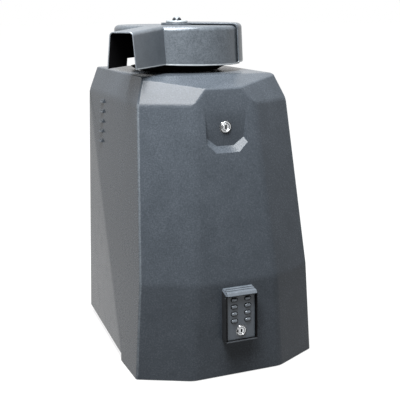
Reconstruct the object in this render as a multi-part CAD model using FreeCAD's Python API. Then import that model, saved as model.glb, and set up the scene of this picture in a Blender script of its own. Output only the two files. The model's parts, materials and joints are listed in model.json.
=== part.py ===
import FreeCAD, Part
import os
from math import atan, cos, degrees, pi, radians, sin, sqrt, tan
from FreeCAD import Placement, Rotation, Vector

# Swing gate operator. Millimetres, +Z up, the front faces -Y. The origin is the middle of the base's underside.

# Cover
cover_wall = 5.0
cover_depth = 457.0
cover_foot_z = 2.0
crease_z = 194.0
shoulder_z = 534.0
brow_z = 565.0
top_z = 585.0
front_low_lean = 0.0356
front_high_lean = 0.187
corner_plan_deg = 27.1
corner_foot_reach = 247.2
corner_low_lean = 0.0582
corner_high_lean = 0.194
shoulder_lean = 0.57
brow_rise = 0.25
side_foot_half = 197.0
side_lean = 0.0655
side_shoulder_lean = 0.385
flank_foot_y = -85.0
flank_head_z = 520.0
rear_foot_half = 175.5
heel_y = -76.0
heel_rise = 15.0
edge_round = 8.0

# Opening in the cover's top
hub_hole_radius = 86.0
hub_slot_half = 34.0

# Lock recess in the cover
recess_top_z = 519.0
recess_side_z = 460.0
recess_low_z = 442.0
recess_half = 43.5
recess_low_half = 24.5
recess_draft = 0.45
recess_low_draft = 0.8

# Vents in the flanks
vent_count = 5
vent_pitch = 21.3
vent_top_z = 528.0
vent_front_y = 110.0
vent_length = 20.0
vent_height = 12.0
vent_reach = 5.0
vent_root = 3.0
vent_end = 2.0
vent_slot = 5.0

# Base and frame
base_half_x = 150.0
base_half_y = 196.0
base_thick = 10.0
base_corner = 16.0
anchor_inset_x = 12.0
anchor_inset_y = 16.0
anchor_hole = 7.0
conduit_x = 60.0
conduit_y = -140.0
conduit_hole = 30.0
side_gap_half = 120.0
sheet = 5.0
frame_front_y = -85.0
flange = 25.0
foot_flange = 40.0
nose_drop = 50.0
nose_back = 25.0
frame_bolt_hole = 5.2
frame_bolt_inset = 30.0
frame_bolt_back = 22.0
frame_bolt_flats = 17.0
frame_bolt_head = 6.5
frame_bolt_radius = 5.0
frame_bolt_length = 12.0
panel_rear_thick = 2.0
panel_rear_lift = 5.0
panel_rear_gap = 9.5
panel_rear_drop = 0.4
tongue_gap = 4.0
tongue_rise = 6.0

# Output shaft and gearbox
shaft_y = 95.0
shaft_radius = 20.0
shaft_low_radius = 15.0
running = 0.05
shelf_top = 408.0
shelf_thick = 8.0
shelf_half_y = 95.0
shelf_bore_play = 6.0
worm_rise = 47.0
gear_module = 3.0
pressure_deg = 20.0
worm_addendum = 1.0
worm_dedendum = 1.2
wheel_dedendum = 1.25
tooth_gap_half = 2.75
worm_thread_half = 2.0
worm_turns = 4.5
thread_sink = 0.4
worm_core_gap = 2.0
wheel_hub_wall = 10.0
wheel_rim_wall = 8.0
wheel_face_sink = 6.0
cap_thick = 7.0
cap_inset = 2.0
cap_gap = 0.2
cap_play = 0.1
cap_room = 4.0
cap_end_wall = 2.0
cap_bore_play = 0.3
wheel_teeth = 40
wheel_width = 24.0
worm_pitch_radius = 18.0
case_radius = 78.0
case_headroom = 23.0
case_foot = 12.0
case_foot_thick = 10.0
case_foot_round = 14.0
case_bolt_hole = 5.2
case_bolt_inset = 2.0
case_rib_half = 4.0
case_rib_rise = 30.0
web_half = 18.0
web_reach = 10.0
web_root = 12.0
chamber_play = 3.0
chamber_floor = 7.0
lid_thick = 12.0
lid_boss = 31.0
lid_boss_wall = 9.0
lid_bolt_count = 6
lid_bolt_flats = 13.0
lid_bolt_head = 5.3
lid_bolt_radius = 4.0
lid_bolt_play = 0.2
lid_bolt_length = 26.0
lid_bolt_depth = 16.0
high_bearing_lift = 5.0
high_bearing_width = 18.0
high_bearing_outer = 40.0
low_bearing_lift = 8.0
low_bearing_width = 16.0
low_bearing_outer = 31.0
seal_radius = 28.0
seal_sink = 1.0
shaft_step = 0.2
shaft_tail = 46.0
shaft_tap = 5.05
shaft_tap_depth = 30.0
key_half = 6.0
key_sink = 5.0
key_rise_out = 3.3
key_inset = 4.0
tunnel_radius = 32.0
tunnel_half = 85.0
worm_shaft_radius = 10.0
worm_tail_radius = 9.0
worm_bearing_outer = 21.0
worm_bearing_width = 12.0
worm_bearing_inner_x = 52.0

# Belt drive and motor
belt_x = 140.0
worm_pulley_radius = 50.0
motor_pulley_radius = 25.0
pulley_half_width = 10.0
motor_z = 230.0
belt_top_half = 6.0
belt_low_half = 3.6
belt_over = 2.5
belt_under = 5.5
groove_play = 0.35
groove_slope = 0.3
pulley_lip = 1.5
pulley_web_sink = 4.0
pulley_hub_wall = 7.0
pulley_rim_wall = 5.0
motor_radius = 62.0
motor_wall = 6.0
motor_left = -100.0
motor_right = 60.0
motor_fin_count = 30
motor_fin_height = 4.0
motor_fin_thick = 2.4
motor_fin_inset = 6.0
motor_foot_inset = 20.0
motor_foot_side = 8.0
motor_foot_drop = 10.0
motor_ear = 14.0
motor_ear_thick = 8.0
motor_shelf_over = 20.0
motor_shelf_thick = 6.0
bell_thick = 12.0
bell_over = 2.0
bell_chamfer = 4.0
bell_boss_radius = 22.0
bell_boss = 5.0
rotor_gap = 2.0
rotor_inset = 25.0
motor_shaft_radius = 9.0
shaft_past_pulley = 2.0
shaft_window = 6.0

# Controls
panel_thick = 2.0
panel_low = 170.0
panel_over_lock = 30.0
board_stand = 8.0
board_thick = 1.6
board_half = 90.0
board_low = 230.0
board_high = 400.0
post_radius = 4.0
post_inset = 8.0
relay_count = 4
relay_left = -70.0
relay_pitch = 36.0
relay_wide = 28.0
relay_deep = 22.0
relay_tall = 30.0
relay_drop = 30.0
strip_half = 80.0
strip_deep = 16.0
strip_tall = 16.0
strip_lift = 14.0
strip_floor = 6.0
strip_sill = 4.0
way_count = 10
way_pitch = 16.0
way_half = 4.0
transformer_x = -80.0
core_half_x = 35.0
core_half_y = 30.0
core_tall = 58.0
coil_half_x = 23.0
coil_half_y = 40.0
coil_lift = 13.0
coil_tall = 32.0
strike_sheet = 3.0
strike_left = 14.0
strike_right = 58.0
strike_foot_half = 14.0
strike_half = 12.0
strike_lap = 4.0
strike_lip = 2.5
strike_past_cam = 7.0

# Limit cams and switches under the gearbox shelf
cam_radius = 28.0
cam_drop = 42.0
cam_thick = 8.0
cam_step = 14.0
cam_dip = 4.0
cam_dip_half = 12.0
cam_turn_deg = 60.0
switch_gap = 0.4
switch_stem = 8.0
switch_deep = 16.0
switch_half = 14.0
switch_tall = 12.0
switch_sink = 2.0
roller_radius = 3.0
roller_inset = 1.0
stem_half = 2.0
bracket_sheet = 3.0
bracket_half = 18.0
bracket_reach = 22.0
bracket_below = 4.0

# Arm and its cover, drawn along +X and then turned about the output shaft
arm_turn_deg = 226.9
drum_low_radius = 139.0
drum_draft = 4.0
drum_z = 602.5
drum_top = 679.3
drum_skin = 3.0
drum_round = 10.0
lap_gap = 2.0
front_lap = 18.0
rear_lap = 4.0
rear_end_deg = 203.0
boss_radius = 34.0
washer_radius = 24.5
washer_thick = 4.5
washer_chamfer = 1.6
bolt_hole = 5.5
bolt_radius = 5.0
bolt_reach = 26.0
bolt_head_radius = 10.0
bolt_neck = 3.0
bolt_dome = 6.0
rim_drop = 3.5
lift_reach = 58.0
lift_near = 10.0
lift_rise = 16.0
channel_length = 280.0
channel_low_half = 30.7
channel_top_half = 24.1
channel_drop = 7.3
channel_skin = 2.5
channel_round = 8.0
hub_radius = 44.0
hub_low = 592.0
hub_high = 640.0
rain_disc_radius = 80.0
rain_disc_thick = 3.5
bar_low = 608.0
bar_high = 624.0
bar_half = 19.0
bar_length = 150.0
arm_bolt_near = 85.0
arm_bolt_far = 130.0
arm_bolt_hole = 6.6

# Cover lock
lock_z = 490.5
lock_head_radius = 11.0
lock_barrel_radius = 9.5
lock_plug_radius = 6.0
lock_head_thick = 3.0
lock_barrel_length = 18.0
lock_cam_length = 34.0
lock_cam_half = 7.5
lock_cam_thick = 2.5
lock_nut_flats = 24.0
lock_nut_thick = 3.5
lock_plug_sink = 0.4
key_slot_half = 0.9
key_slot_depth = 6.0
key_slot_share = 0.65
lock_rim = 1.0

# Keypad, drawn upright about its middle and then laid on the lower front
pad_z = 130.0
pad_half_x = 33.5
pad_low = -52.5
pad_high = 49.8
pad_deep = 21.0
pad_skin = 2.8
pad_floor = 3.0
pad_slope = 6.8
hood_thick = 3.5
hood_rise = 2.7
hood_fall = 5.3
hood_over = 4.0
hood_inset = 0.5
hood_lip = 6.0
hood_lip_lean = 3.5
hood_lip_thick = 2.5
hood_groove_count = 2
hood_groove_wide = 2.4
hood_groove_deep = 1.1
catch_half = 14.0
catch_thick = 1.5
catch_depth = 8.0
catch_rise = 4.7
plate_thick = 2.0
plate_face = 16.5
plate_play = 0.4
plate_foot_play = 0.5
plate_high = 41.0
pin_radius = 1.5
pin_play = 0.08
pin_drop = 2.0
pin_past = 2.4
stud_radius = 2.2
stud_x = 24.5
pad_board_gap = 2.5
pad_board_half = 28.0
pad_board_thick = 1.6
pad_board_under = 6.0
pad_board_over = 3.5
key_columns = (-14.5, 14.5)
key_rows = (33.0, 18.5, 4.0, -10.5)
key_half_x = 6.3
key_half_z = 3.3
key_rise = 2.8
key_chamfer = 1.1
key_skirt = 1.0
key_skirt_thick = 0.8
key_play = 0.3
pad_lock_v = -31.5
pad_lock_head = 10.0
pad_lock_head_thick = 2.5
pad_lock_barrel = 8.0
pad_lock_plug = 5.0
pad_lock_back = -6.0
pad_lock_nut_flats = 19.0
pad_lock_nut_thick = 3.0
pad_lock_cam_half = 5.0
pad_lock_cam_thick = 1.4
pad_lock_cam_length = 14.5

SPAN = 750.0
PAST = 1.0
X = Vector(1, 0, 0)
Y = Vector(0, 1, 0)
Z = Vector(0, 0, 1)


def box(x0, x1, y0, y1, z0, z1):
    return Part.makeBox(x1 - x0, y1 - y0, z1 - z0, Vector(x0, y0, z0))


def rod(radius, start, end):
    line = end - start
    return Part.makeCylinder(radius, line.Length, start, line)


def upright(radius, x, y, z0, z1):
    return rod(radius, Vector(x, y, z0), Vector(x, y, z1))


def prism(points, along):
    wire = Part.makePolygon(points + points[:1])
    return Part.Face(wire).extrude(along)


def outline_x(pairs, x0, x1):
    """A prism along X from (y, z) corners."""
    points = [Vector(x0, y, z) for y, z in pairs]
    return prism(points, Vector(x1 - x0, 0, 0))


def hexagon(across_flats, start, end):
    line = end - start
    turn = Rotation(Z, line)
    reach = across_flats / sqrt(3)
    corners = [Vector(reach * cos(radians(60 * i)), reach * sin(radians(60 * i)), 0) for i in range(6)]
    return prism([start + turn.multVec(c) for c in corners], line)


def hex_bolt(head, across_flats, head_thick, radius, reach, down):
    """A bolt whose head sits on the point head and whose shank runs along down."""
    cap = hexagon(across_flats, head - down * head_thick, head)
    return cap.fuse(rod(radius, head, head + down * reach)).removeSplitter()


def joined(shapes):
    return shapes[0].fuse(shapes[1:]).removeSplitter()


def mirrored(shape):
    return shape.mirror(Vector(0, 0, 0), X)


def trim(shape, point, outward):
    """Takes away what lies beyond a plane."""
    block = Part.makeBox(4 * SPAN, 4 * SPAN, 4 * SPAN, Vector(-2 * SPAN, -2 * SPAN, 0))
    block.Placement = Placement(point, Rotation(Z, outward))
    return shape.cut(block)


def plane_of(p, q, r, inside):
    """The plane through three points, with its unit normal pointing away from a point inside."""
    normal = (q - p).cross(r - p).normalize()
    if normal.dot(inside - p) > 0:
        normal = normal * -1
    return p, normal


def export(name, *solids):
    shape = solids[0] if len(solids) == 1 else Part.makeCompound(list(solids))
    shape.exportStep("parts/" + name + ".step")


# Planes of the cover

front_y = -cover_depth / 2
rear_y = cover_depth / 2
core = Vector(0, 0, crease_z)


def front_at(z):
    low = front_y + front_low_lean * min(z, crease_z)
    return low + front_high_lean * max(0.0, z - crease_z)


def corner_reach(z):
    low = corner_foot_reach - corner_low_lean * min(z, crease_z)
    return low - corner_high_lean * max(0.0, z - crease_z)


def side_half(z):
    return side_foot_half - side_lean * z


corner_x = sin(radians(corner_plan_deg))
corner_y = cos(radians(corner_plan_deg))
shoulder_half = side_half(shoulder_z)
brow_y = front_at(brow_z)


def cover_planes():
    """Outward planes of the cover: those down the middle, then the left ones with their mirrors."""
    middle = [
        (Vector(0, front_y, 0), Vector(0, -1, front_low_lean)),
        (Vector(0, front_at(crease_z), crease_z), Vector(0, -1, front_high_lean)),
        (Vector(0, brow_y, brow_z), Vector(0, -brow_rise, 1)),
        (Vector(0, 0, top_z), Z),
    ]
    low_point = Vector(-corner_x, -corner_y, 0) * corner_reach(crease_z) + Z * crease_z
    high_point = Vector(-corner_x, -corner_y, 0) * corner_reach(shoulder_z) + Z * shoulder_z
    left = [
        (low_point, Vector(-corner_x, -corner_y, corner_low_lean)),
        (low_point, Vector(-corner_x, -corner_y, corner_high_lean)),
        (high_point, Vector(-corner_x, -corner_y, shoulder_lean)),
        (Vector(-side_foot_half, 0, 0), Vector(-1, 0, side_lean)),
        (Vector(-shoulder_half, 0, shoulder_z), Vector(-1, 0, side_shoulder_lean)),
        plane_of(
            Vector(-side_foot_half, flank_foot_y, 0),
            Vector(-side_half(flank_head_z), rear_y, flank_head_z),
            Vector(-rear_foot_half, rear_y, 0),
            core,
        ),
    ]
    right = [(Vector(-p.x, p.y, p.z), Vector(-n.x, n.y, n.z)) for p, n in left]
    return [(p, Vector(n).normalize()) for p, n in middle + left + right]


def cover_block(inset, foot, rear):
    block = box(-SPAN, SPAN, -SPAN, rear, foot, SPAN)
    for point, normal in cover_planes():
        block = trim(block, point - normal * inset, normal)
    return block


def edge_turn(shape, edge):
    """The angle in degrees between the two faces at a straight edge."""
    faces = shape.ancestorsOfType(edge, Part.Face)
    first = faces[0].normalAt(0, 0)
    second = faces[1].normalAt(0, 0)
    return degrees(first.getAngle(second))


def rounded_cover():
    """The outer block with soft edges. The foot, the open rear and the faint bend of each flank stay sharp."""
    block = cover_block(0.0, cover_foot_z, rear_y)
    edges = []
    for edge in block.Edges:
        low = all(v.Z < cover_foot_z + 0.1 for v in edge.Vertexes)
        back = all(v.Y > rear_y - 0.1 for v in edge.Vertexes)
        if not low and not back and edge_turn(block, edge) > 5:
            edges.append(edge)
    return block.makeFillet(edge_round, edges)


# Lock recess: its floor is upright and meets the front at the recess's top edge

recess_floor_y = front_at(recess_top_z)


def recess_block(inset):
    """The hollow of the lock recess, grown by inset."""
    block = box(-SPAN, SPAN, -SPAN, recess_floor_y + inset, 0, SPAN)

    def spot(x, z):
        return Vector(x, front_at(z), z)

    inside = Vector(0, recess_floor_y, lock_z)
    walls = []
    for side in (-1, 1):
        top = spot(side * recess_half, recess_top_z)
        mid = spot(side * recess_half, recess_side_z)
        low = spot(side * recess_low_half, recess_low_z)
        walls.append(plane_of(top, mid, top + Vector(-side * recess_draft, 1, 0), inside))
        walls.append(plane_of(mid, low, mid + Vector(-side * recess_draft, 1, recess_low_draft), inside))
    left = spot(-recess_low_half, recess_low_z)
    right = spot(recess_low_half, recess_low_z)
    walls.append(plane_of(left, right, left + Vector(0, 1, recess_low_draft), inside))
    for point, normal in walls:
        block = trim(block, point + normal * inset, normal)
    return block


def flank_x(z):
    """The left flank's outer face where the vents sit."""
    middle = vent_front_y + vent_length / 2
    foot = Vector(-side_foot_half, flank_foot_y, 0)
    head = Vector(-side_half(flank_head_z), rear_y, flank_head_z)
    point, normal = plane_of(foot, head, Vector(-rear_foot_half, rear_y, 0), core)
    bent = point.x - (normal.y * (middle - point.y) + normal.z * (z - point.z)) / normal.x
    return max(bent, -side_half(z))


def vents():
    """Hooded slots, one above the other: the hoods and the openings under them."""
    hoods = []
    slots = []
    rear = vent_front_y + vent_length
    for i in range(vent_count):
        z = vent_top_z - i * vent_pitch
        x = flank_x(z - vent_height)
        root = x + vent_root
        lip = [(root, z), (x - vent_reach, z - vent_height), (root, z - vent_height)]
        points = [Vector(a, vent_front_y, b) for a, b in lip]
        hoods.append(prism(points, Vector(0, vent_length, 0)))
        low = z - vent_height - PAST
        through = x + 3 * cover_wall
        front = vent_front_y + vent_end
        slots.append(box(x - vent_reach / 2, through, front, rear - vent_end, low, low + vent_slot))
    return hoods, slots


def operator_cover():
    hollow = cover_block(cover_wall, -SPAN, SPAN).cut(recess_block(cover_wall))
    hoods, slots = vents()
    outer = rounded_cover().cut(recess_block(0.0))
    outer = outer.fuse(hoods + [mirrored(h) for h in hoods])
    shell = outer.cut(hollow)
    cuts = slots + [mirrored(s) for s in slots]
    under_top = top_z - 2 * cover_wall
    cuts.append(upright(hub_hole_radius, 0, shaft_y, under_top, SPAN))
    cuts.append(box(-hub_slot_half, hub_slot_half, shaft_y, SPAN, under_top, SPAN))
    cuts.append(box(-SPAN, SPAN, heel_y, SPAN, -SPAN, cover_foot_z + heel_rise))
    behind = recess_floor_y + 2 * cover_wall
    cuts.append(rod(lock_barrel_radius + running, Vector(0, front_y, lock_z), Vector(0, behind, lock_z)))
    return shell.cut(cuts).removeSplitter()


# Cover lock, whose axis runs along -Y

lock_back_y = recess_floor_y + lock_barrel_length


def lock_body(head_y, head_radius, head_thick, barrel, back_y, plug, at):
    head = rod(head_radius, Vector(0, head_y, 0), Vector(0, head_y - head_thick, 0))
    front = [e for e in head.Edges if abs(e.CenterOfMass.y - (head_y - head_thick)) < 0.01]
    head = head.makeChamfer(lock_rim, front)
    shape = head.fuse(rod(barrel, Vector(0, head_y, 0), Vector(0, back_y, 0))).removeSplitter()
    face_y = head_y - head_thick
    shape = shape.cut(rod(plug + running, Vector(0, face_y - PAST, 0), Vector(0, back_y + PAST, 0)))
    shape.translate(at)
    return shape


def lock_plug(face_y, back_y, radius, at):
    """The turning core with its key slot."""
    shape = rod(radius, Vector(0, face_y, 0), Vector(0, back_y, 0))
    high = radius * key_slot_share
    slot = box(-key_slot_half, key_slot_half, face_y - PAST, face_y + key_slot_depth, -high, high)
    shape = shape.cut(slot)
    shape.translate(at)
    return shape


def lock_nut(front_y, thick, across_flats, bore, at):
    shape = hexagon(across_flats, Vector(0, front_y, 0), Vector(0, front_y + thick, 0))
    shape = shape.cut(rod(bore, Vector(0, front_y - PAST, 0), Vector(0, front_y + thick + PAST, 0)))
    shape.translate(at)
    return shape


def lock_cam(front_y, thick, half, length, down, at):
    """A flat cam that points down, or along +X when down is false."""
    blade = rod(half, Vector(0, front_y, 0), Vector(0, front_y + thick, 0))
    if down:
        blade = blade.fuse(box(-half, half, front_y, front_y + thick, -length, 0))
    else:
        blade = blade.fuse(box(0, length, front_y, front_y + thick, -half, half))
    blade = blade.removeSplitter()
    blade.translate(at)
    return blade


# Base and frame

side_out = side_gap_half + sheet
rail_z = top_z - cover_wall
side_low = base_thick
frame_rear_y = base_half_y
anchor_x = base_half_x - anchor_inset_x
anchor_y = base_half_y - anchor_inset_y


def base_plate():
    shape = box(-base_half_x, base_half_x, -base_half_y, base_half_y, 0, base_thick)
    shape = shape.makeFillet(base_corner, [e for e in shape.Edges if abs(e.Length - base_thick) < 0.01])
    cuts = []
    for x in (-anchor_x, anchor_x):
        for y in (-anchor_y, anchor_y):
            cuts.append(upright(anchor_hole, x, y, -PAST, base_thick + PAST))
    cuts.append(upright(conduit_hole, conduit_x, conduit_y, -PAST, base_thick + PAST))
    for x, y in frame_bolt_spots():
        cuts.append(upright(frame_bolt_hole, x, y, -PAST, base_thick + PAST))
    return shape.cut(cuts)


def frame_bolt_spots():
    x = side_gap_half - frame_bolt_back
    ends = (frame_front_y + frame_bolt_inset, frame_rear_y - frame_bolt_inset)
    return [(sx * x, y) for sx in (-1, 1) for y in ends]


def frame_side(drilled):
    """The right side plate, with its bent edges. The drilled one lets the belt drive's shafts through."""
    slope_y = frame_front_y + nose_back
    nose_z = rail_z - nose_drop
    flat = [
        (frame_front_y, side_low),
        (frame_rear_y, side_low),
        (frame_rear_y, rail_z),
        (slope_y, rail_z),
        (frame_front_y, nose_z),
    ]
    inner = side_gap_half - flange
    foot = side_gap_half - foot_flange
    pieces = [
        outline_x(flat, side_gap_half, side_out),
        box(foot, side_gap_half, frame_front_y, frame_rear_y, side_low, side_low + sheet),
        box(inner, side_gap_half, slope_y, frame_rear_y, rail_z - sheet, rail_z),
        box(inner, side_gap_half, frame_front_y, frame_front_y + sheet, side_low, nose_z),
        box(inner, side_gap_half, frame_rear_y - sheet, frame_rear_y, side_low, rail_z),
    ]
    shape = joined(pieces)
    foot_top = side_low + sheet
    cuts = [upright(frame_bolt_hole, x, y, side_low - PAST, foot_top + PAST) for x, y in frame_bolt_spots()]
    if drilled:
        for z, radius in ((worm_z, worm_tail_radius), (motor_z, motor_shaft_radius)):
            start = Vector(side_gap_half - PAST, worm_y, z)
            cuts.append(rod(radius + shaft_window, start, Vector(side_out + PAST, worm_y, z)))
    return shape.cut(cuts)


def gearbox_shelf():
    low = shelf_top - shelf_thick
    front = shaft_y - shelf_half_y
    shape = box(-side_gap_half, side_gap_half, front, shaft_y + shelf_half_y, low, shelf_top)
    cuts = [upright(shaft_low_radius + shelf_bore_play, 0, shaft_y, low - PAST, shelf_top + PAST)]
    for x, y in case_bolt_spots():
        cuts.append(upright(case_bolt_hole, x, y, low - PAST, shelf_top + PAST))
    return shape.cut(cuts)


def rear_half(z):
    """Half the cover's outer width at its rear edge."""
    if z > shoulder_z:
        return shoulder_half - side_shoulder_lean * (z - shoulder_z)
    if z > flank_head_z:
        return side_half(z)
    return rear_foot_half + (side_half(flank_head_z) - rear_foot_half) * z / flank_head_z


def rear_panel():
    """The sheet behind the frame, with a tongue that stands in the cover's slot."""
    low = cover_foot_z + heel_rise + panel_rear_lift
    high = rail_z - panel_rear_drop
    levels = (low, flank_head_z, shoulder_z, high)
    corners = [(rear_half(z) - panel_rear_gap, z) for z in levels]
    tongue = hub_slot_half - tongue_gap
    corners = corners + [(tongue, high), (tongue, top_z + tongue_rise)]
    ring = corners + [(-x, z) for x, z in reversed(corners)]
    points = [Vector(x, frame_rear_y, z) for x, z in ring]
    return prism(points, Vector(0, panel_rear_thick, 0))


def frame_bolts():
    top = side_low + sheet
    size = (frame_bolt_flats, frame_bolt_head, frame_bolt_radius, frame_bolt_length)
    return [hex_bolt(Vector(x, y, top), *size, -Z) for x, y in frame_bolt_spots()]


# Gearbox

worm_z = shelf_top + worm_rise
case_top = worm_z + wheel_width / 2 + case_headroom
wheel_pitch_radius = gear_module * wheel_teeth / 2
worm_y = shaft_y - wheel_pitch_radius - worm_pitch_radius
worm_lead = pi * gear_module
worm_tip = worm_pitch_radius + worm_addendum * gear_module
worm_root = worm_pitch_radius - worm_dedendum * gear_module
wheel_tip = wheel_pitch_radius + gear_module
wheel_root = wheel_pitch_radius - wheel_dedendum * gear_module
chamber_radius = wheel_tip + chamber_play
chamber_low = worm_z - wheel_width / 2 - chamber_floor
low_bearing_z = shelf_top + low_bearing_lift
low_bearing_top = low_bearing_z + low_bearing_width
lid_top = case_top + lid_thick
boss_top = case_top + lid_boss
high_bearing_z = case_top + high_bearing_lift
high_bearing_top = high_bearing_z + high_bearing_width
lid_bolt_circle = (case_radius + chamber_radius) / 2


def along_x(radius, x0, x1):
    """A cylinder on the worm's axis."""
    return rod(radius, Vector(x0, worm_y, worm_z), Vector(x1, worm_y, worm_z))


def case_bolt_spots():
    reach = case_radius - case_bolt_inset
    return [(sx * reach, shaft_y + sy * reach) for sx in (-1, 1) for sy in (-1, 1)]


def lid_bolt_spots():
    turns = [2 * pi * i / lid_bolt_count for i in range(lid_bolt_count)]
    return [(lid_bolt_circle * cos(t), shaft_y + lid_bolt_circle * sin(t)) for t in turns]


def gearbox_housing():
    foot = case_radius + case_foot
    foot_top = shelf_top + case_foot_thick
    flat = box(-foot, foot, shaft_y - foot, shaft_y + foot, shelf_top, foot_top)
    corners = [e for e in flat.Edges if abs(e.Length - case_foot_thick) < 0.01]
    flat = flat.makeFillet(case_foot_round, corners)
    web = box(-web_half, web_half, worm_y - web_reach, shaft_y - case_radius + web_root, shelf_top, worm_z)
    shape = joined([
        flat,
        upright(case_radius, 0, shaft_y, shelf_top, case_top),
        along_x(tunnel_radius, -tunnel_half, tunnel_half),
        web,
    ] + case_ribs(foot, foot_top))
    seat = worm_bearing_outer + running
    middle = worm_bearing_inner_x - chamber_play
    cuts = [
        upright(chamber_radius, 0, shaft_y, chamber_low, case_top + PAST),
        along_x(worm_tip + chamber_play, -middle, middle),
        along_x(seat, -tunnel_half - PAST, tunnel_half + PAST),
        upright(low_bearing_outer + running, 0, shaft_y, low_bearing_z, chamber_low + PAST),
        upright(shaft_low_radius + shelf_bore_play, 0, shaft_y, shelf_top - PAST, low_bearing_z + PAST),
    ]
    for x, y in lid_bolt_spots():
        cuts.append(upright(lid_bolt_radius + running, x, y, case_top - lid_bolt_depth, case_top + PAST))
    for x, y in case_bolt_spots():
        cuts.append(upright(case_bolt_hole, x, y, shelf_top - PAST, foot_top + PAST))
    return shape.cut(cuts)


def case_ribs(foot, foot_top):
    """Gussets from the round case down to its foot, on both sides and at the rear."""
    flat = [
        Vector(case_radius - PAST, 0, foot_top),
        Vector(foot, 0, foot_top),
        Vector(case_radius - PAST, 0, foot_top + case_rib_rise),
    ]
    ribs = []
    for turn in (0, 90, 180):
        rib = prism([p - Y * case_rib_half for p in flat], Y * 2 * case_rib_half)
        rib.rotate(Vector(0, 0, 0), Z, turn)
        rib.translate(Vector(0, shaft_y, 0))
        ribs.append(rib)
    return ribs


def gearbox_lid():
    disc = upright(case_radius, 0, shaft_y, case_top, lid_top)
    boss = upright(high_bearing_outer + lid_boss_wall, 0, shaft_y, case_top, boss_top)
    shape = disc.fuse(boss).removeSplitter()
    cuts = [
        upright(high_bearing_outer + running, 0, shaft_y, case_top - PAST, high_bearing_top),
        upright(seal_radius + running, 0, shaft_y, case_top - PAST, boss_top + PAST),
    ]
    for x, y in lid_bolt_spots():
        cuts.append(upright(lid_bolt_radius + lid_bolt_play, x, y, case_top - PAST, lid_top + PAST))
    return shape.cut(cuts)


def ring_z(inner, outer, z0, z1):
    return upright(outer, 0, shaft_y, z0, z1).cut(upright(inner, 0, shaft_y, z0 - PAST, z1 + PAST))


def ring_x(inner, outer, x0, x1):
    return along_x(outer, x0, x1).cut(along_x(inner, x0 - PAST, x1 + PAST))


def output_shaft():
    shape = joined([
        upright(shaft_low_radius, 0, shaft_y, shelf_top - shaft_tail, low_bearing_top + shaft_step),
        upright(shaft_radius, 0, shaft_y, low_bearing_top + shaft_step, drum_top - drum_skin),
    ])
    cuts = [upright(shaft_tap, 0, shaft_y, drum_top - shaft_tap_depth, drum_top)]
    cuts = cuts + [key_block(z0, z1) for z0, z1 in key_spans()]
    return shape.cut(cuts)


def key_spans():
    wheel_low = worm_z - wheel_width / 2
    return [(wheel_low, wheel_low + wheel_width), (hub_low + key_inset, hub_high - key_inset)]


def key_block(z0, z1):
    surface = shaft_y + shaft_radius
    return box(-key_half, key_half, surface - key_sink, surface + key_rise_out, z0, z1)


def key_way(z0, z1):
    """Room for a key in a hub, as wide as the key."""
    return box(-key_half, key_half, shaft_y, shaft_y + shaft_radius + key_rise_out, z0, z1)


def worm_wheel():
    low = worm_z - wheel_width / 2
    high = worm_z + wheel_width / 2
    shape = upright(wheel_tip, 0, shaft_y, low, high)
    lead_slope = worm_lead / (2 * pi * worm_pitch_radius)
    slant = wheel_width * lead_slope
    flank = tan(radians(pressure_deg))
    out = wheel_tip + PAST
    out_half = tooth_gap_half + (out - wheel_pitch_radius) * flank
    root_half = tooth_gap_half - (wheel_pitch_radius - wheel_root) * flank
    corners = [(-out_half, -out), (out_half, -out), (root_half, -wheel_root), (-root_half, -wheel_root)]
    points = [Vector(x - slant / 2, y, low) for x, y in corners]
    gap = prism(points, Vector(slant, 0, wheel_width))
    gaps = []
    for i in range(wheel_teeth):
        one = gap.copy()
        one.rotate(Vector(0, 0, 0), Z, 360.0 * i / wheel_teeth)
        one.translate(Vector(0, shaft_y, 0))
        gaps.append(one)
    bore = upright(shaft_radius + running, 0, shaft_y, low - PAST, high + PAST)
    cuts = gaps + [bore, key_way(low - PAST, high + PAST)]
    for z0, z1 in ((low - PAST, low + wheel_face_sink), (high - wheel_face_sink, high + PAST)):
        cuts.append(ring_z(shaft_radius + wheel_hub_wall, wheel_root - wheel_rim_wall, z0, z1))
    return shape.cut(cuts)


def worm_shaft():
    length = worm_turns * worm_lead
    helix = Part.makeHelix(worm_lead, length, worm_root)
    flank = tan(radians(pressure_deg))
    foot = worm_root - thread_sink
    root_half = worm_thread_half + (worm_pitch_radius - foot) * flank
    tip_half = worm_thread_half - (worm_tip - worm_pitch_radius) * flank
    corners = [(foot, -root_half), (worm_tip, -tip_half), (worm_tip, tip_half), (foot, root_half)]
    points = [Vector(r, 0, z) for r, z in corners]
    profile = Part.makePolygon(points + points[:1])
    thread = Part.Wire(helix.Edges).makePipeShell([profile], True, True)
    core_half = worm_bearing_inner_x - worm_core_gap
    body = rod(worm_root, Vector(0, 0, -core_half), Vector(0, 0, core_half))
    tail = worm_bearing_inner_x + worm_bearing_width
    body = joined([
        body,
        rod(worm_shaft_radius, Vector(0, 0, -tail), Vector(0, 0, tail)),
        rod(worm_tail_radius, Vector(0, 0, 0), Vector(0, 0, belt_x + pulley_half_width + shaft_past_pulley)),
    ])
    thread.translate(Vector(0, 0, -length / 2))
    shape = body.fuse(thread)
    shape.Placement = Placement(Vector(0, worm_y, worm_z), Rotation(Y, 90))
    return shape


def worm_cap(side, bored):
    """The plate over one end of the worm's tunnel, with a spigot that holds the bearing."""
    face = side * tunnel_half
    outer = face + side * cap_thick
    bearing_end = side * (worm_bearing_inner_x + worm_bearing_width + cap_gap)
    plate = along_x(tunnel_radius - cap_inset, face, outer)
    spigot = along_x(worm_bearing_outer - cap_play, bearing_end, face)
    shape = plate.fuse(spigot).removeSplitter()
    room = along_x(worm_shaft_radius + cap_room, bearing_end - side * PAST, face - side * cap_end_wall)
    shape = shape.cut(room)
    if bored:
        shape = shape.cut(along_x(worm_tail_radius + cap_bore_play, 0, outer + side * PAST))
    return shape


# Belt drive and motor

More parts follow.
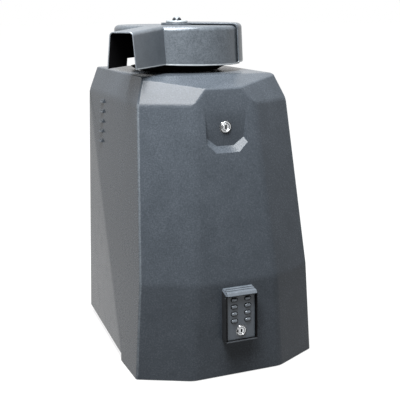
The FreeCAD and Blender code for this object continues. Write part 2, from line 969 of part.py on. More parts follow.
def belt_loop(grow, x):
    """The line of the belt round both pulleys, at a height above the pitch line and a place along X."""
    big = worm_pulley_radius + grow
    small = motor_pulley_radius + grow
    span = worm_z - motor_z
    lean = (big - small) / span
    side = sqrt(1 - lean * lean)
    high = Vector(x, worm_y, worm_z)
    low = Vector(x, worm_y, motor_z)

    def spot(centre, radius, sign):
        return centre + Vector(0, sign * radius * side, -radius * lean)

    top = Part.Arc(spot(high, big, -1), high + Z * big, spot(high, big, 1)).toShape()
    down = Part.makeLine(spot(high, big, 1), spot(low, small, 1))
    under = Part.Arc(spot(low, small, 1), low - Z * small, spot(low, small, -1)).toShape()
    up = Part.makeLine(spot(low, small, -1), spot(high, big, -1))
    return Part.Wire([top, down, under, up])


def drive_belt():
    loops = [
        belt_loop(belt_over, belt_x - belt_top_half),
        belt_loop(belt_over, belt_x + belt_top_half),
        belt_loop(-belt_under, belt_x + belt_low_half),
        belt_loop(-belt_under, belt_x - belt_low_half),
    ]
    faces = []
    for i in range(4):
        pair = Part.makeLoft([loops[i], loops[(i + 1) % 4]], False, True)
        faces.extend(pair.Faces)
    return Part.Solid(Part.Shell(faces))


def pulley(radius, bore, z):
    """A grooved wheel whose groove clears the belt."""
    rim = radius + belt_over + pulley_lip
    groove_out = belt_top_half + groove_play + pulley_lip * groove_slope
    groove_in = belt_low_half + groove_play
    floor = radius - belt_under - groove_play
    half = pulley_half_width
    line = [
        (bore, -half), (rim, -half), (rim, -groove_out), (floor, -groove_in),
        (floor, groove_in), (rim, groove_out), (rim, half),
    ]
    hub = bore + pulley_hub_wall
    web_out = floor - pulley_rim_wall
    if web_out > hub + pulley_hub_wall:
        sunk = half - pulley_web_sink
        line = line + [(web_out, half), (web_out, sunk), (hub, sunk), (hub, half)]
    line.append((bore, half))
    points = [Vector(belt_x + a, 0, r) for r, a in line]
    face = Part.Face(Part.makePolygon(points + points[:1]))
    shape = face.revolve(Vector(0, 0, 0), X, 360)
    shape.translate(Vector(0, worm_y, z))
    return shape


def on_motor(radius, x0, x1):
    return rod(radius, Vector(x0, worm_y, motor_z), Vector(x1, worm_y, motor_z))


motor_foot_z = motor_z - motor_radius - motor_foot_drop


def motor_fins():
    """Cooling ribs along the barrel, on the upper half."""
    reach = motor_radius + motor_fin_height
    half = motor_fin_thick / 2
    left = motor_left + motor_fin_inset
    right = motor_right - motor_fin_inset
    fins = []
    for i in range(motor_fin_count // 2 + 1):
        fin = box(left, right, -half, half, motor_radius - PAST, reach)
        fin.rotate(Vector(0, 0, 0), X, 90 - 360.0 * i / motor_fin_count)
        fin.translate(Vector(0, worm_y, motor_z))
        fins.append(fin)
    return fins


def motor_housing():
    barrel = on_motor(motor_radius, motor_left, motor_right)
    left = motor_left + motor_foot_inset
    right = motor_right - motor_foot_inset
    foot_half = motor_radius - motor_foot_side
    ear_half = motor_radius + motor_ear
    foot = box(left, right, worm_y - foot_half, worm_y + foot_half, motor_foot_z, motor_z)
    ears = box(left, right, worm_y - ear_half, worm_y + ear_half, motor_foot_z, motor_foot_z + motor_ear_thick)
    shape = joined([barrel, foot, ears] + motor_fins())
    return shape.cut(on_motor(motor_radius - motor_wall, motor_left - PAST, motor_right + PAST))


def motor_bells():
    bells = []
    for face, side in ((motor_left, -1), (motor_right, 1)):
        outer = face + side * bell_thick
        bell = on_motor(motor_radius + bell_over, face, outer)
        rim = [e for e in bell.Edges if abs(e.CenterOfMass.x - outer) < 0.01]
        bell = bell.makeChamfer(bell_chamfer, rim)
        bell = bell.fuse(on_motor(bell_boss_radius, face, outer + side * bell_boss)).removeSplitter()
        bore = motor_shaft_radius + running
        bells.append(bell.cut(on_motor(bore, face - side * PAST, outer + side * (bell_boss + PAST))))
    return bells


def motor_shelf():
    half = motor_radius + motor_shelf_over
    low = motor_foot_z - motor_shelf_thick
    return box(-side_gap_half, side_gap_half, worm_y - half, worm_y + half, low, motor_foot_z)


def motor_shaft():
    rotor = on_motor(motor_radius - motor_wall - rotor_gap, motor_left + rotor_inset, motor_right - rotor_inset)
    tip = belt_x + pulley_half_width + shaft_past_pulley
    line = on_motor(motor_shaft_radius, motor_left - bell_thick, tip)
    return rotor.fuse(line).removeSplitter()


# Controls

panel_face = frame_front_y - panel_thick
board_back = panel_face - board_stand
board_face = board_back - board_thick


def control_panel():
    plate = box(-side_gap_half, side_gap_half, panel_face, frame_front_y, panel_low, lock_z + panel_over_lock)
    posts = []
    for x in (-board_half + post_inset, board_half - post_inset):
        for z in (board_low + post_inset, board_high - post_inset):
            posts.append(rod(post_radius, Vector(x, panel_face, z), Vector(x, board_back, z)))
    return joined([plate] + posts)


def control_board():
    return box(-board_half, board_half, board_face, board_back, board_low, board_high)


def relays():
    high = board_high - relay_drop
    blocks = []
    for i in range(relay_count):
        x = relay_left + relay_pitch * i
        blocks.append(box(x, x + relay_wide, board_face - relay_deep, board_face, high - relay_tall, high))
    return blocks


def terminal_strip():
    low = board_low + strip_lift
    front = board_face - strip_deep
    body = box(-strip_half, strip_half, front, board_face, low, low + strip_tall)
    ways = []
    for i in range(way_count):
        x = way_pitch * (i - (way_count - 1) / 2)
        floor = board_face - strip_floor
        ways.append(box(x - way_half, x + way_half, front - PAST, floor, low + strip_sill, low + strip_tall + PAST))
    return body.cut(ways)


def transformer():
    x = transformer_x
    y = conduit_y
    low = base_thick
    coil_low = low + coil_lift
    stack = box(x - core_half_x, x + core_half_x, y - core_half_y, y + core_half_y, low, low + core_tall)
    coil = box(
        x - coil_half_x, x + coil_half_x, y - coil_half_y, y + coil_half_y, coil_low, coil_low + coil_tall)
    return stack.fuse(coil).removeSplitter()


cam_low = shelf_top - cam_drop


def limit_cam(level, turn):
    """A disc with a low stretch that lets its switch go."""
    low = cam_low + cam_step * level
    high = low + cam_thick
    disc = upright(cam_radius, 0, shaft_y, low, high)
    dip = box(cam_radius - cam_dip, cam_radius + PAST, -cam_dip_half, cam_dip_half, low - PAST, high + PAST)
    dip.rotate(Vector(0, 0, 0), Z, turn)
    dip.translate(Vector(0, shaft_y, 0))
    return disc.cut([dip, upright(shaft_low_radius + running, 0, shaft_y, low - PAST, high + PAST)])


switch_x = cam_radius + switch_gap
switch_block_x = switch_x + switch_stem


def limit_switch(level):
    low = cam_low + cam_step * level
    high = low + cam_thick
    back = switch_block_x + switch_deep
    base = low - switch_sink
    body = box(switch_block_x, back, shaft_y - switch_half, shaft_y + switch_half, base, base + switch_tall)
    roller_x = switch_x + roller_radius
    foot = low + roller_inset
    head = high - roller_inset
    roller = upright(roller_radius, roller_x, shaft_y, foot, head)
    stem = box(roller_x, switch_block_x, shaft_y - stem_half, shaft_y + stem_half, foot, head)
    return joined([body, stem, roller])


def limit_switch_bracket():
    x = switch_block_x + switch_deep
    low = shelf_top - shelf_thick
    front = shaft_y - bracket_half
    rear = shaft_y + bracket_half
    wall = box(x, x + bracket_sheet, front, rear, cam_low - bracket_below, low)
    head = box(x, x + bracket_reach, front, rear, low - bracket_sheet, low)
    return wall.fuse(head).removeSplitter()


strike_y = lock_back_y - strike_lap


def lock_strike():
    web_x = lock_cam_length + strike_past_cam
    web_back = web_x + strike_sheet
    low = lock_z - strike_half
    high = lock_z + strike_half
    foot = box(
        strike_left, strike_right, panel_face - strike_sheet, panel_face,
        lock_z - strike_foot_half, lock_z + strike_foot_half)
    web = box(web_x, web_back, strike_y, panel_face, low, high)
    lip = box(strike_left, web_back, strike_y, strike_y + strike_lip, low, high)
    return joined([foot, web, lip])


# Arm and its cover

def on_arm(shape):
    shape.rotate(Vector(0, 0, 0), Z, arm_turn_deg)
    shape.translate(Vector(0, shaft_y, 0))
    return shape


def drum(grow, high, rounding, foot):
    """A tapered round block with a soft top edge."""
    slope = drum_draft / (drum_top - drum_z)
    low = drum_low_radius + grow + slope * (drum_z - foot)
    top = low - slope * (high - foot)
    block = Part.makeCone(low, top, high - foot, Vector(0, 0, foot))
    rim = [e for e in block.Edges if abs(e.CenterOfMass.z - high) < 0.01]
    return block.makeFillet(rounding, rim)


channel_top = drum_top - channel_drop


def channel(inset, length):
    """The arm's hood, whose roof rises from its mouth to the drum's top."""
    drum_edge = drum_low_radius - drum_draft
    climb = channel_drop / (channel_length - drum_edge)
    mouth = channel_top - inset - climb * (length - channel_length)
    ridge_z = mouth + climb * length
    draft = (channel_low_half - channel_top_half) / (channel_top - drum_z)
    low_half = channel_low_half - inset
    top_half = low_half - draft * (ridge_z - drum_z)
    pairs = [(-low_half, drum_z), (low_half, drum_z), (top_half, ridge_z), (-top_half, ridge_z)]
    block = trim(outline_x(pairs, 0, length), Vector(length, 0, mouth), Vector(climb, 0, 1))
    long_edges = [e for e in block.Edges if e.Length > length / 2]
    roof = [e for e in long_edges if e.CenterOfMass.z > drum_z + inset + 1]
    return block.makeFillet(channel_round - inset, roof)


def below(shape, z):
    return trim(shape, Vector(0, 0, z), Z)


def rear_quarter(lap):
    """The sector that the rear shell covers, with its two edges moved out by lap."""
    turn = radians(rear_end_deg)
    edge = Vector(-sin(turn), cos(turn), 0)
    return trim(box(-SPAN, lap, -SPAN, SPAN, 0, SPAN), edge * lap, edge)


def arm_cover_front():
    foot = drum_z - rim_drop
    outer = drum(0.0, drum_top, drum_round, foot).fuse(below(channel(0.0, channel_length), drum_top))
    roof = drum_top - drum_skin
    inner = drum(-drum_skin, roof, drum_round - drum_skin, foot)
    inner = inner.fuse(below(channel(channel_skin, channel_length + PAST), roof))
    rim_lean = rim_drop / drum_low_radius
    shape = trim(outer.cut(inner), Vector(0, 0, drum_z), Vector(0, -rim_lean, -1))
    lift_end = drum_low_radius + lift_reach
    raised_skirt = box(-SPAN, lift_end, -SPAN, -lift_near, foot - PAST, drum_z + lift_rise)
    cuts = [rear_quarter(-front_lap), upright(bolt_hole, 0, 0, drum_z, drum_top + PAST), raised_skirt]
    return on_arm(shape.cut(cuts).removeSplitter())


rear_top = drum_top + lap_gap + drum_skin


def arm_cover_rear():
    outer = drum(lap_gap + drum_skin, rear_top, drum_round, drum_z)
    inner = drum(lap_gap, drum_top + lap_gap, drum_round, drum_z)
    shape = outer.cut(inner).common(rear_quarter(rear_lap))
    boss = upright(boss_radius, 0, 0, drum_top, rear_top)
    shape = shape.fuse(boss).removeSplitter()
    return on_arm(shape.cut(upright(bolt_hole, 0, 0, drum_z, rear_top + PAST)))


washer_top = rear_top + washer_thick


def arm_cover_washer():
    disc = upright(washer_radius, 0, 0, rear_top, washer_top)
    edge = [e for e in disc.Edges if abs(e.CenterOfMass.z - washer_top) < 0.01]
    disc = disc.makeChamfer(washer_chamfer, edge)
    return on_arm(disc.cut(upright(bolt_hole, 0, 0, rear_top - PAST, washer_top + PAST)))


def arm_cover_bolt():
    ball = (bolt_head_radius ** 2 + bolt_dome ** 2) / (2 * bolt_dome)
    shoulder = washer_top + bolt_neck
    neck = upright(bolt_head_radius, 0, 0, washer_top, shoulder)
    dome = Part.makeSphere(ball, Vector(0, 0, shoulder + bolt_dome - ball))
    dome = dome.common(upright(2 * ball, 0, 0, shoulder, shoulder + 2 * bolt_dome))
    shank = upright(bolt_radius, 0, 0, drum_top - bolt_reach, washer_top)
    return on_arm(joined([neck, dome, shank]))


def crank_arm():
    """The arm's keyed hub and bar, with a disc under the hub that keeps rain out of the cover's hole."""
    disc_low = hub_low - rain_disc_thick
    shape = joined([
        upright(hub_radius, 0, 0, hub_low, hub_high),
        box(0, bar_length, -bar_half, bar_half, bar_low, bar_high),
        upright(rain_disc_radius, 0, 0, disc_low, hub_low),
    ])
    spots = (arm_bolt_near, arm_bolt_far)
    holes = [upright(arm_bolt_hole, x, 0, bar_low - PAST, bar_high + PAST) for x in spots]
    shape = on_arm(shape.cut(holes))
    bore = upright(shaft_radius + running, 0, shaft_y, disc_low - PAST, hub_high + PAST)
    return shape.cut([bore, key_way(disc_low - PAST, hub_high + PAST)])


# Keypad

pad_front = -plate_face
pad_back = -plate_face + plate_thick
plate_low = pad_low + pad_skin + plate_foot_play
plate_half = pad_half_x - pad_skin - plate_play
pin_v = plate_high - pin_drop
pin_depth = -plate_face + plate_thick / 2
pad_lean = degrees(atan(front_low_lean))


def on_front(shape):
    """Lays a piece drawn upright at the origin onto the cover's lower front."""
    shape.rotate(Vector(0, 0, 0), X, -pad_lean)
    shape.translate(Vector(0, front_at(pad_z), pad_z))
    return shape


def hood_profile():
    """The rain hood from the side: a sloped roof with grooves along it, and a leaning lip at its front."""
    back = Vector(0, 0, pad_high + hood_rise)
    front = Vector(0, -pad_deep - hood_over + hood_lip_lean, pad_high - hood_fall)
    run = front - back
    along = Vector(run).normalize()
    inward = X.cross(along)
    roof = [back]
    for i in range(1, hood_groove_count + 1):
        middle = back + run * (i / (hood_groove_count + 1))
        start = middle - along * (hood_groove_wide / 2)
        end = middle + along * (hood_groove_wide / 2)
        roof.extend([start, start + inward * hood_groove_deep, end + inward * hood_groove_deep, end])
    roof.append(front)
    lip = front - Z * hood_lip - Y * hood_lip_lean
    tuck = lip + Y * hood_lip_thick
    under = tuck + (front - lip) * (1 - hood_thick / hood_lip)
    return roof + [lip, tuck, under, back - Z * hood_thick]


def keypad_housing():
    slope = pad_high - pad_slope
    side = [(0, pad_low), (-pad_deep, pad_low), (-pad_deep, slope), (0, pad_high)]
    mouth = -pad_deep - PAST
    room = [
        (-pad_floor, pad_low + pad_skin), (mouth, pad_low + pad_skin),
        (mouth, slope - pad_skin), (-pad_floor, pad_high - pad_skin),
    ]
    shape = outline_x(side, -pad_half_x, pad_half_x)
    shape = shape.cut(outline_x(room, -pad_half_x + pad_skin, pad_half_x - pad_skin))
    hood_half = pad_half_x - hood_inset
    hood = prism([p - X * hood_half for p in hood_profile()], X * 2 * hood_half)
    shape = shape.fuse(hood).removeSplitter()
    shelf = pad_low + pad_skin
    catch = box(-catch_half, catch_half, -catch_depth - catch_thick, -catch_depth, pad_low, shelf + catch_rise)
    shape = shape.fuse(catch).removeSplitter()
    reach = Vector(2 * pad_half_x, 0, 0)
    middle = Vector(0, pin_depth, pin_v)
    return on_front(shape.cut(rod(pin_radius + pin_play, middle - reach, middle + reach)))


def slot_prism(half_x, half_z, x, z, y0, y1):
    """A bar with round ends that runs along Y."""
    flat = half_x - half_z
    ends = [rod(half_z, Vector(x + s * flat, y0, z), Vector(x + s * flat, y1, z)) for s in (-1, 1)]
    return joined(ends + [box(x - flat, x + flat, y0, y1, z - half_z, z + half_z)])


def key_spots():
    return [(x, z) for z in key_rows for x in key_columns]


pad_board_y = pad_back + pad_board_gap


def keypad_plate():
    plate = box(-plate_half, plate_half, pad_front, pad_back, plate_low, plate_high)
    pin_end = Vector(plate_half + pin_past, 0, 0)
    pin_middle = Vector(0, pin_depth, pin_v)
    pieces = [plate, rod(pin_radius, pin_middle - pin_end, pin_middle + pin_end)]
    for x in (-stud_x, stud_x):
        for z in (key_rows[0] - stud_radius, key_rows[3]):
            pieces.append(rod(stud_radius, Vector(x, pad_back, z), Vector(x, pad_board_y, z)))
    shape = joined(pieces)
    front = pad_front - PAST
    back = pad_back + PAST
    cuts = []
    for x, z in key_spots():
        cuts.append(slot_prism(key_half_x + key_play, key_half_z + key_play, x, z, front, back))
    cuts.append(rod(pad_lock_barrel + running, Vector(0, front, pad_lock_v), Vector(0, back, pad_lock_v)))
    return on_front(shape.cut(cuts))


def keypad_board():
    low = key_rows[3] - pad_board_under
    high = key_rows[0] + pad_board_over
    back = pad_board_y + pad_board_thick
    return on_front(box(-pad_board_half, pad_board_half, pad_board_y, back, low, high))


def keypad_key(x, z):
    cap = slot_prism(key_half_x, key_half_z, x, z, pad_front - key_rise, pad_back)
    rim = [e for e in cap.Edges if abs(e.CenterOfMass.y - pad_front + key_rise) < 0.01]
    cap = cap.makeChamfer(key_chamfer, rim)
    wide = key_half_x + key_skirt
    tall = key_half_z + key_skirt
    skirt = box(x - wide, x + wide, pad_back, pad_back + key_skirt_thick, z - tall, z + tall)
    return on_front(cap.fuse(skirt).removeSplitter())


pad_lock_at = Vector(0, 0, pad_lock_v)
lock_at = Vector(0, 0, lock_z)

os.makedirs("parts", exist_ok=True)

export("operator_cover", operator_cover())
export("cover_lock_body", lock_body(
    recess_floor_y, lock_head_radius, lock_head_thick, lock_barrel_radius, lock_back_y, lock_plug_radius, lock_at))
export("cover_lock_nut", lock_nut(
    recess_floor_y + cover_wall, lock_nut_thick, lock_nut_flats, lock_barrel_radius + running, lock_at))
export("cover_lock_plug", lock_plug(
    recess_floor_y - lock_head_thick + lock_plug_sink, lock_back_y, lock_plug_radius, lock_at))
export("cover_lock_cam", lock_cam(lock_back_y, lock_cam_thick, lock_cam_half, lock_cam_length, True, lock_at))

export("base_plate", base_plate())
export("frame_side_right", frame_side(True))
export("frame_side_left", mirrored(frame_side(False)))
export("gearbox_shelf", gearbox_shelf())
export("motor_shelf", motor_shelf())
export("rear_panel", rear_panel())
export("frame_bolts", *frame_bolts())

export("gearbox_housing", gearbox_housing())
export("gearbox_lid", gearbox_lid())
lid_bolt = (lid_bolt_flats, lid_bolt_head, lid_bolt_radius, lid_bolt_length)
export("lid_bolts", *[hex_bolt(Vector(x, y, lid_top), *lid_bolt, -Z) for x, y in lid_bolt_spots()])
export("output_bearings",
       ring_z(shaft_low_radius + running, low_bearing_outer, low_bearing_z, low_bearing_top),
       ring_z(shaft_radius + running, high_bearing_outer, high_bearing_z, high_bearing_top))
export("output_oil_seal", ring_z(shaft_radius + running, seal_radius, high_bearing_top, boss_top - seal_sink))
bearing_far = worm_bearing_inner_x + worm_bearing_width
export("worm_bearings",
       ring_x(worm_shaft_radius + running, worm_bearing_outer, -bearing_far, -worm_bearing_inner_x),
       ring_x(worm_shaft_radius + running, worm_bearing_outer, worm_bearing_inner_x, bearing_far))
export("worm_end_cap", worm_cap(-1, False))
export("worm_seal_cap", worm_cap(1, True))

export("output_shaft", output_shaft())
export("shaft_keys", *[key_block(z0, z1) for z0, z1 in key_spans()])
export("worm_wheel", worm_wheel())
export("limit_cams", limit_cam(0, -cam_turn_deg), limit_cam(1, cam_turn_deg))
export("crank_arm", crank_arm())
export("arm_cover_front", arm_cover_front())
export("arm_cover_rear", arm_cover_rear())
export("arm_cover_washer", arm_cover_washer())
export("arm_cover_bolt", arm_cover_bolt())

export("worm_shaft", worm_shaft())
export("worm_pulley", pulley(worm_pulley_radius, worm_tail_radius + running, worm_z))
export("motor_shaft", motor_shaft())
export("motor_pulley", pulley(motor_pulley_radius, motor_shaft_radius + running, motor_z))
export("drive_belt", drive_belt())
export("motor_housing", motor_housing())
export("motor_end_bells", *motor_bells())

export("control_panel", control_panel())
export("control_board", control_board())
export("relays", *relays())
export("terminal_strip", terminal_strip())
export("transformer", transformer())
export("limit_switches", limit_switch(0), limit_switch(1))
export("limit_switch_bracket", limit_switch_bracket())
export("lock_strike", lock_strike())

export("keypad_housing", keypad_housing())
export("keypad_plate", keypad_plate())
export("keypad_board", keypad_board())
for number, (x, z) in enumerate(key_spots(), 1):
    export("keypad_key_%d" % number, keypad_key(x, z))
export("keypad_lock_body", on_front(lock_body(
    pad_front, pad_lock_head, pad_lock_head_thick, pad_lock_barrel, pad_lock_back, pad_lock_plug, pad_lock_at)))
export("keypad_lock_nut", on_front(lock_nut(
    pad_back, pad_lock_nut_thick, pad_lock_nut_flats, pad_lock_barrel + running, pad_lock_at)))
export("keypad_lock_plug", on_front(lock_plug(
    pad_front - pad_lock_head_thick + lock_plug_sink, pad_lock_back, pad_lock_plug, pad_lock_at)))
export("keypad_lock_cam", on_front(lock_cam(
    pad_lock_back, pad_lock_cam_thick, pad_lock_cam_half, pad_lock_cam_length, False, pad_lock_at)))
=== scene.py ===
import json
from math import atan, copysign, cos, hypot, pi, radians, sin

import bmesh
import bpy
from mathutils import Matrix, Vector


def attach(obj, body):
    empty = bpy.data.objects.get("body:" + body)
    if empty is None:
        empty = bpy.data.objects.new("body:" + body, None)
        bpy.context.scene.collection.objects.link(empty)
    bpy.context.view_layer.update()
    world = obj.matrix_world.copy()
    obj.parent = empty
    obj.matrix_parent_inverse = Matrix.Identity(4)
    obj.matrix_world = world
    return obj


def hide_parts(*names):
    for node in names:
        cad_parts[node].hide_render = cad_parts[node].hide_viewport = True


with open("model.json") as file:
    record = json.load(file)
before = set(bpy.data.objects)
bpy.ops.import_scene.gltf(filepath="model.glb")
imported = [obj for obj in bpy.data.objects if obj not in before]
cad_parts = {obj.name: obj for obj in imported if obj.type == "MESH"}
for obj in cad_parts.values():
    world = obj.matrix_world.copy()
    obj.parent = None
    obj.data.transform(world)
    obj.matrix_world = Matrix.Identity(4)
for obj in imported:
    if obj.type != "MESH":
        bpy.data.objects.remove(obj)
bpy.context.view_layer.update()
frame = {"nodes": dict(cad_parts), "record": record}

nodes = frame["nodes"]

# Swing gate operator. Metres, +Z up, the front faces -Y.

MM = 0.001

# Camera, fitted to the photograph's 400 by 400 frame
CAMERA_PLACE = (-0.6619, -1.5996, 0.7181)
CAMERA_PITCH = -0.2318
CAMERA_YAW = -0.4000
CAMERA_LENS = 73.77
CAMERA_SENSOR = 36.0

# Studio
FLOOR_HALF = 30.0
FLOOR_GLOW = (0.86, 1.0)
FLOOR_FADE = (0.7, 3.0)
FLOOR_CARD = "#646464"
WORLD_FILL = 0.05
LAMP_AIM = (0.0, 0.0, 0.35)
# Each lamp's direction from the aim, distance, size and power
LAMPS = {
    "key_softbox": ((-0.36, -0.49, 0.80), 1.2, (0.5, 0.5), 30.0),
    "top_softbox": ((-0.10, -0.18, 1.0), 2.2, (1.5, 0.95), 165.0),
}

# Cover, in millimetres, with slopes for its leans, rises and drafts
COVER_WALL = 5.0
COVER_DEPTH = 457.0
COVER_FOOT_Z = 2.0
CREASE_Z = 194.0
SHOULDER_Z = 534.0
BROW_Z = 565.0
TOP_Z = 585.0
FRONT_LOW_LEAN = 0.0356
FRONT_HIGH_LEAN = 0.187
CORNER_PLAN = radians(27.1)
CORNER_FOOT_REACH = 247.2
CORNER_LOW_LEAN = 0.0582
CORNER_HIGH_LEAN = 0.194
SHOULDER_LEAN = 0.57
BROW_RISE = 0.25
SIDE_FOOT_HALF = 197.0
SIDE_LEAN = 0.0655
SIDE_SHOULDER_LEAN = 0.385
FLANK_FOOT_Y = -85.0
FLANK_HEAD_Z = 520.0
REAR_FOOT_HALF = 175.5
HEEL_Y = -76.0
HEEL_RISE = 15.0
HUB_HOLE_RADIUS = 86.0
HUB_SLOT_HALF = 34.0
SHAFT_Y = 95.0
RECESS_TOP_Z = 519.0
RECESS_SIDE_Z = 460.0
RECESS_LOW_Z = 442.0
RECESS_HALF = 43.5
RECESS_LOW_HALF = 24.5
RECESS_DRAFT = 0.45
RECESS_LOW_DRAFT = 0.8
VENT_COUNT = 5
VENT_PITCH = 21.3
VENT_TOP_Z = 528.0
VENT_FRONT_Y = 110.0
VENT_LENGTH = 20.0
VENT_HEIGHT = 12.0
VENT_REACH = 5.0
VENT_ROOT = 3.0
VENT_END = 2.0
VENT_SLOT = 5.0
VENT_SLOT_DROP = 1.0
FACET_STEPS = 6
RIM_STEPS = 3
RIM_ROUND = 0.5
RIM_ANGLE = 32.0
CREASE_LEAST = 5.0
# How far out from the middle the painted highlight on the cover's upright corners begins
HIGHLIGHT_NEAR = 120.0

# Cover lock and keypad, in millimetres, with a head or barrel as radius and length.
# The hood's narrowing and the height of the black slab round the keyhole, which paints its shade, are
# shares of the hood's width and the bore.
LOCK_Z = 490.5
LOCK_HEAD = (11.0, 3.0)
LOCK_BARREL = (9.5, 18.0)
LOCK_HOLE = 9.6
LOCK_BORE = 6.05
PAD_Z = 130.0
PAD_FACE = 16.5
PAD_DEEP = 21.0
PAD_LOW = -52.5
PAD_HIGH = 49.8
PAD_SKIN = 2.8
PAD_HALF = 33.5
PAD_HOOD_DROP = 14.0
HOOD_BACK_Z = 52.5
HOOD_FALL = 8.0
HOOD_REACH = 21.5
HOOD_GROOVE = 1.6
HOOD_LIFT = 4.5
HOOD_BACK_LIFT = 1.2
HOOD_NARROW = 0.945
KEY_COLUMNS = (-14.5, 14.5)
KEY_ROWS = (33.0, 18.5, 4.0, -10.5)
KEY_HALF = (6.3, 3.3)
SEAL_NEAR = 0.35
SEAL_WIDE = 1.1
SEAL_HIGH = 0.4
PAD_LOCK_Z = -31.5
PAD_LOCK_HEAD = (10.0, 2.5)
PAD_LOCK_BARREL = (8.0, 10.5)
PAD_LOCK_BORE = 5.05
KEY_SLOT_NEAR = 4.4
KEY_SLOT_HALF = 1.0
KEY_SLOT_LEAST = 0.3
KEYHOLE_SHADE_HALF = 1.9
KEYHOLE_SHADE_TALL = 0.68
KEYHOLE_SHADE_SUNK = 0.4
KEYHOLE_SHADE_PROUD = 0.12
# The black ring round each lock head, which paints its shadow
SHADOW_RING = 1.5
RING_WIDE = 2.4
SEAT_WIDE = 0.8
GROOVE_DEEP = 1.2
NOTCH_HALF = 2.6

# Arm cover, in millimetres
ARM_TURN = radians(226.9)
DRUM_RADIUS = 139.0
DRUM_Z = 602.5
RIM_DROP = 3.5
LIFT_NEAR = 10.0
LIFT_REACH = 58.0
LIFT_RISE = 16.0
CHANNEL_LENGTH = 280.0
HEM = 3.2
WASHER_Z = 684.3
WASHER_FOOT_Z = 685.2
WASHER_TOP = 688.8
BOLT_FOOT_Z = 653.3

# Meshes, with lengths in millimetres and angles in degrees
MERGE_NEAR = 0.002
SLIVER_WIDE = 0.02
SLIVER_LONG = 0.01
FLAT_ENOUGH = 0.5
FLAT_WEIGHT = 90
EDGE_STEPS = 2
EDGE_ANGLE = 28.0
TURNED_EDGE = 0.2
TURNED_ANGLE = 35.0
TURN_STEPS = 64
WIDE_TURN_STEPS = 96
OVAL_STEPS = 32

# Parts of a face's unit normal along a line, by which faces are told apart
SAME_FACING = 0.9999
SQUARE_ON = 0.9
LEANS_TO = 0.3
SIDE_ACROSS = 0.5
ROOF_UP = 0.2
BOLT_CROWN = 0.7
# The facing of the cover's upright corners, which take a painted highlight
HIGHLIGHT_ACROSS = (0.5, 0.985)
HIGHLIGHT_OUT = -0.12
HIGHLIGHT_UP = 0.4

# The places of a piece's finishes: its own, its worn edges' (which on the cover's corners and the arm's
# open end is a painted highlight) and those that some pieces add.
# A rounded edge may also take the finish of the face beside it.
OWN, WEAR_AND_HIGHLIGHT, FIRST_ADDED, SECOND_ADDED, THIRD_ADDED = range(5)
AS_BESIDE = -1


# Materials

# Where a noise's values mostly lie, and those of a noise with flakes added
NOISE_SPAN = (0.325, 0.675)
FLAKE_SPAN = (0.3, 1.7)
# How far apart a wave texture's bands lie at a scale of one, and how much thin sheets wander
WAVE_BAND = pi / 10
SHEET_WANDER = 0.6
# A copper track's half width and its run, beside the pitch of the tracks
TRACK_HALF = 0.14
TRACK_RUN = 3


def linear(code):
    """A hex sRGB colour as linear red, green, blue and alpha."""
    parts = [int(code[i:i + 2], 16) / 255 for i in (1, 3, 5)]
    return [c / 12.92 if c <= 0.04045 else ((c + 0.055) / 1.055) ** 2.4 for c in parts] + [1.0]


def add_node(tree, kind, values=None, links=None, **settings):
    """Adds a shader node with its settings, its fixed inputs and its linked inputs."""
    node = tree.nodes.new(kind)
    for name, value in settings.items():
        setattr(node, name, value)
    for name, value in (values or {}).items():
        node.inputs[name].default_value = value
    for name, source in (links or {}).items():
        tree.links.new(source, node.inputs[name])
    return node


def per_mm(width):
    """A texture scale that gives features about this many millimetres wide."""
    return 1.0 / (width * MM)


def surface(name, shader):
    """A new material: its node tree, the piece's own coordinates and its shader."""
    material = bpy.data.materials.new(name)
    material.use_nodes = True
    tree = material.node_tree
    tree.nodes.clear()
    place = add_node(tree, "ShaderNodeTexCoord").outputs["Object"]
    body = add_node(tree, "ShaderNodeBsdfPrincipled", shader)
    add_node(tree, "ShaderNodeOutputMaterial", None, {"Surface": body.outputs["BSDF"]})
    return material, tree, place, body


def shade(tree, body, amount, dark, light, rough, height, depth):
    """Drives a shader's colour and gloss by one amount from 0 to 1, and its relief by a height.

    Depth is the relief's depth in millimetres.
    """
    colour = add_node(
        tree, "ShaderNodeMix", {6: linear(dark), 7: linear(light)}, {0: amount}, data_type="RGBA")
    gloss = add_node(
        tree, "ShaderNodeMapRange", {"To Min": rough[0], "To Max": rough[1]}, {"Value": amount})
    bump = add_node(tree, "ShaderNodeBump", {"Strength": 1.0, "Distance": depth * MM}, {"Height": height})
    tree.links.new(colour.outputs[2], body.inputs["Base Color"])
    tree.links.new(gloss.outputs["Result"], body.inputs["Roughness"])
    tree.links.new(bump.outputs["Normal"], body.inputs["Normal"])


def mottled(name, dark, light, patch, rough, grain, depth, stretch=(1, 1, 1), clouds=1.0, **shader):
    """A surface whose colour and gloss drift over patches, with a fine grain.

    Patch and grain are widths in millimetres, depth is the grain's height, and rough is a pair of limits.
    Stretch draws the grain out along an axis, and clouds is how strong the patches are beside the grain.
    """
    material, tree, place, body = surface(name, shader)
    drawn = add_node(tree, "ShaderNodeMapping", {"Scale": stretch}, {"Vector": place}).outputs["Vector"]
    drift = add_node(tree, "ShaderNodeTexNoise", {"Scale": per_mm(patch), "Detail": 4.0}, {"Vector": place})
    fine = add_node(tree, "ShaderNodeTexNoise", {"Scale": per_mm(grain), "Detail": 2.0}, {"Vector": drawn})
    both = add_node(
        tree, "ShaderNodeMath", {1: clouds}, {0: drift.outputs["Fac"], 2: fine.outputs["Fac"]},
        operation="MULTIPLY_ADD")
    low, high = (end * (1 + clouds) for end in NOISE_SPAN)
    amount = add_node(
        tree, "ShaderNodeMapRange", {"From Min": low, "From Max": high}, {"Value": both.outputs["Value"]})
    shade(tree, body, amount.outputs["Result"], dark, light, rough, fine.outputs["Fac"], depth)
    return material


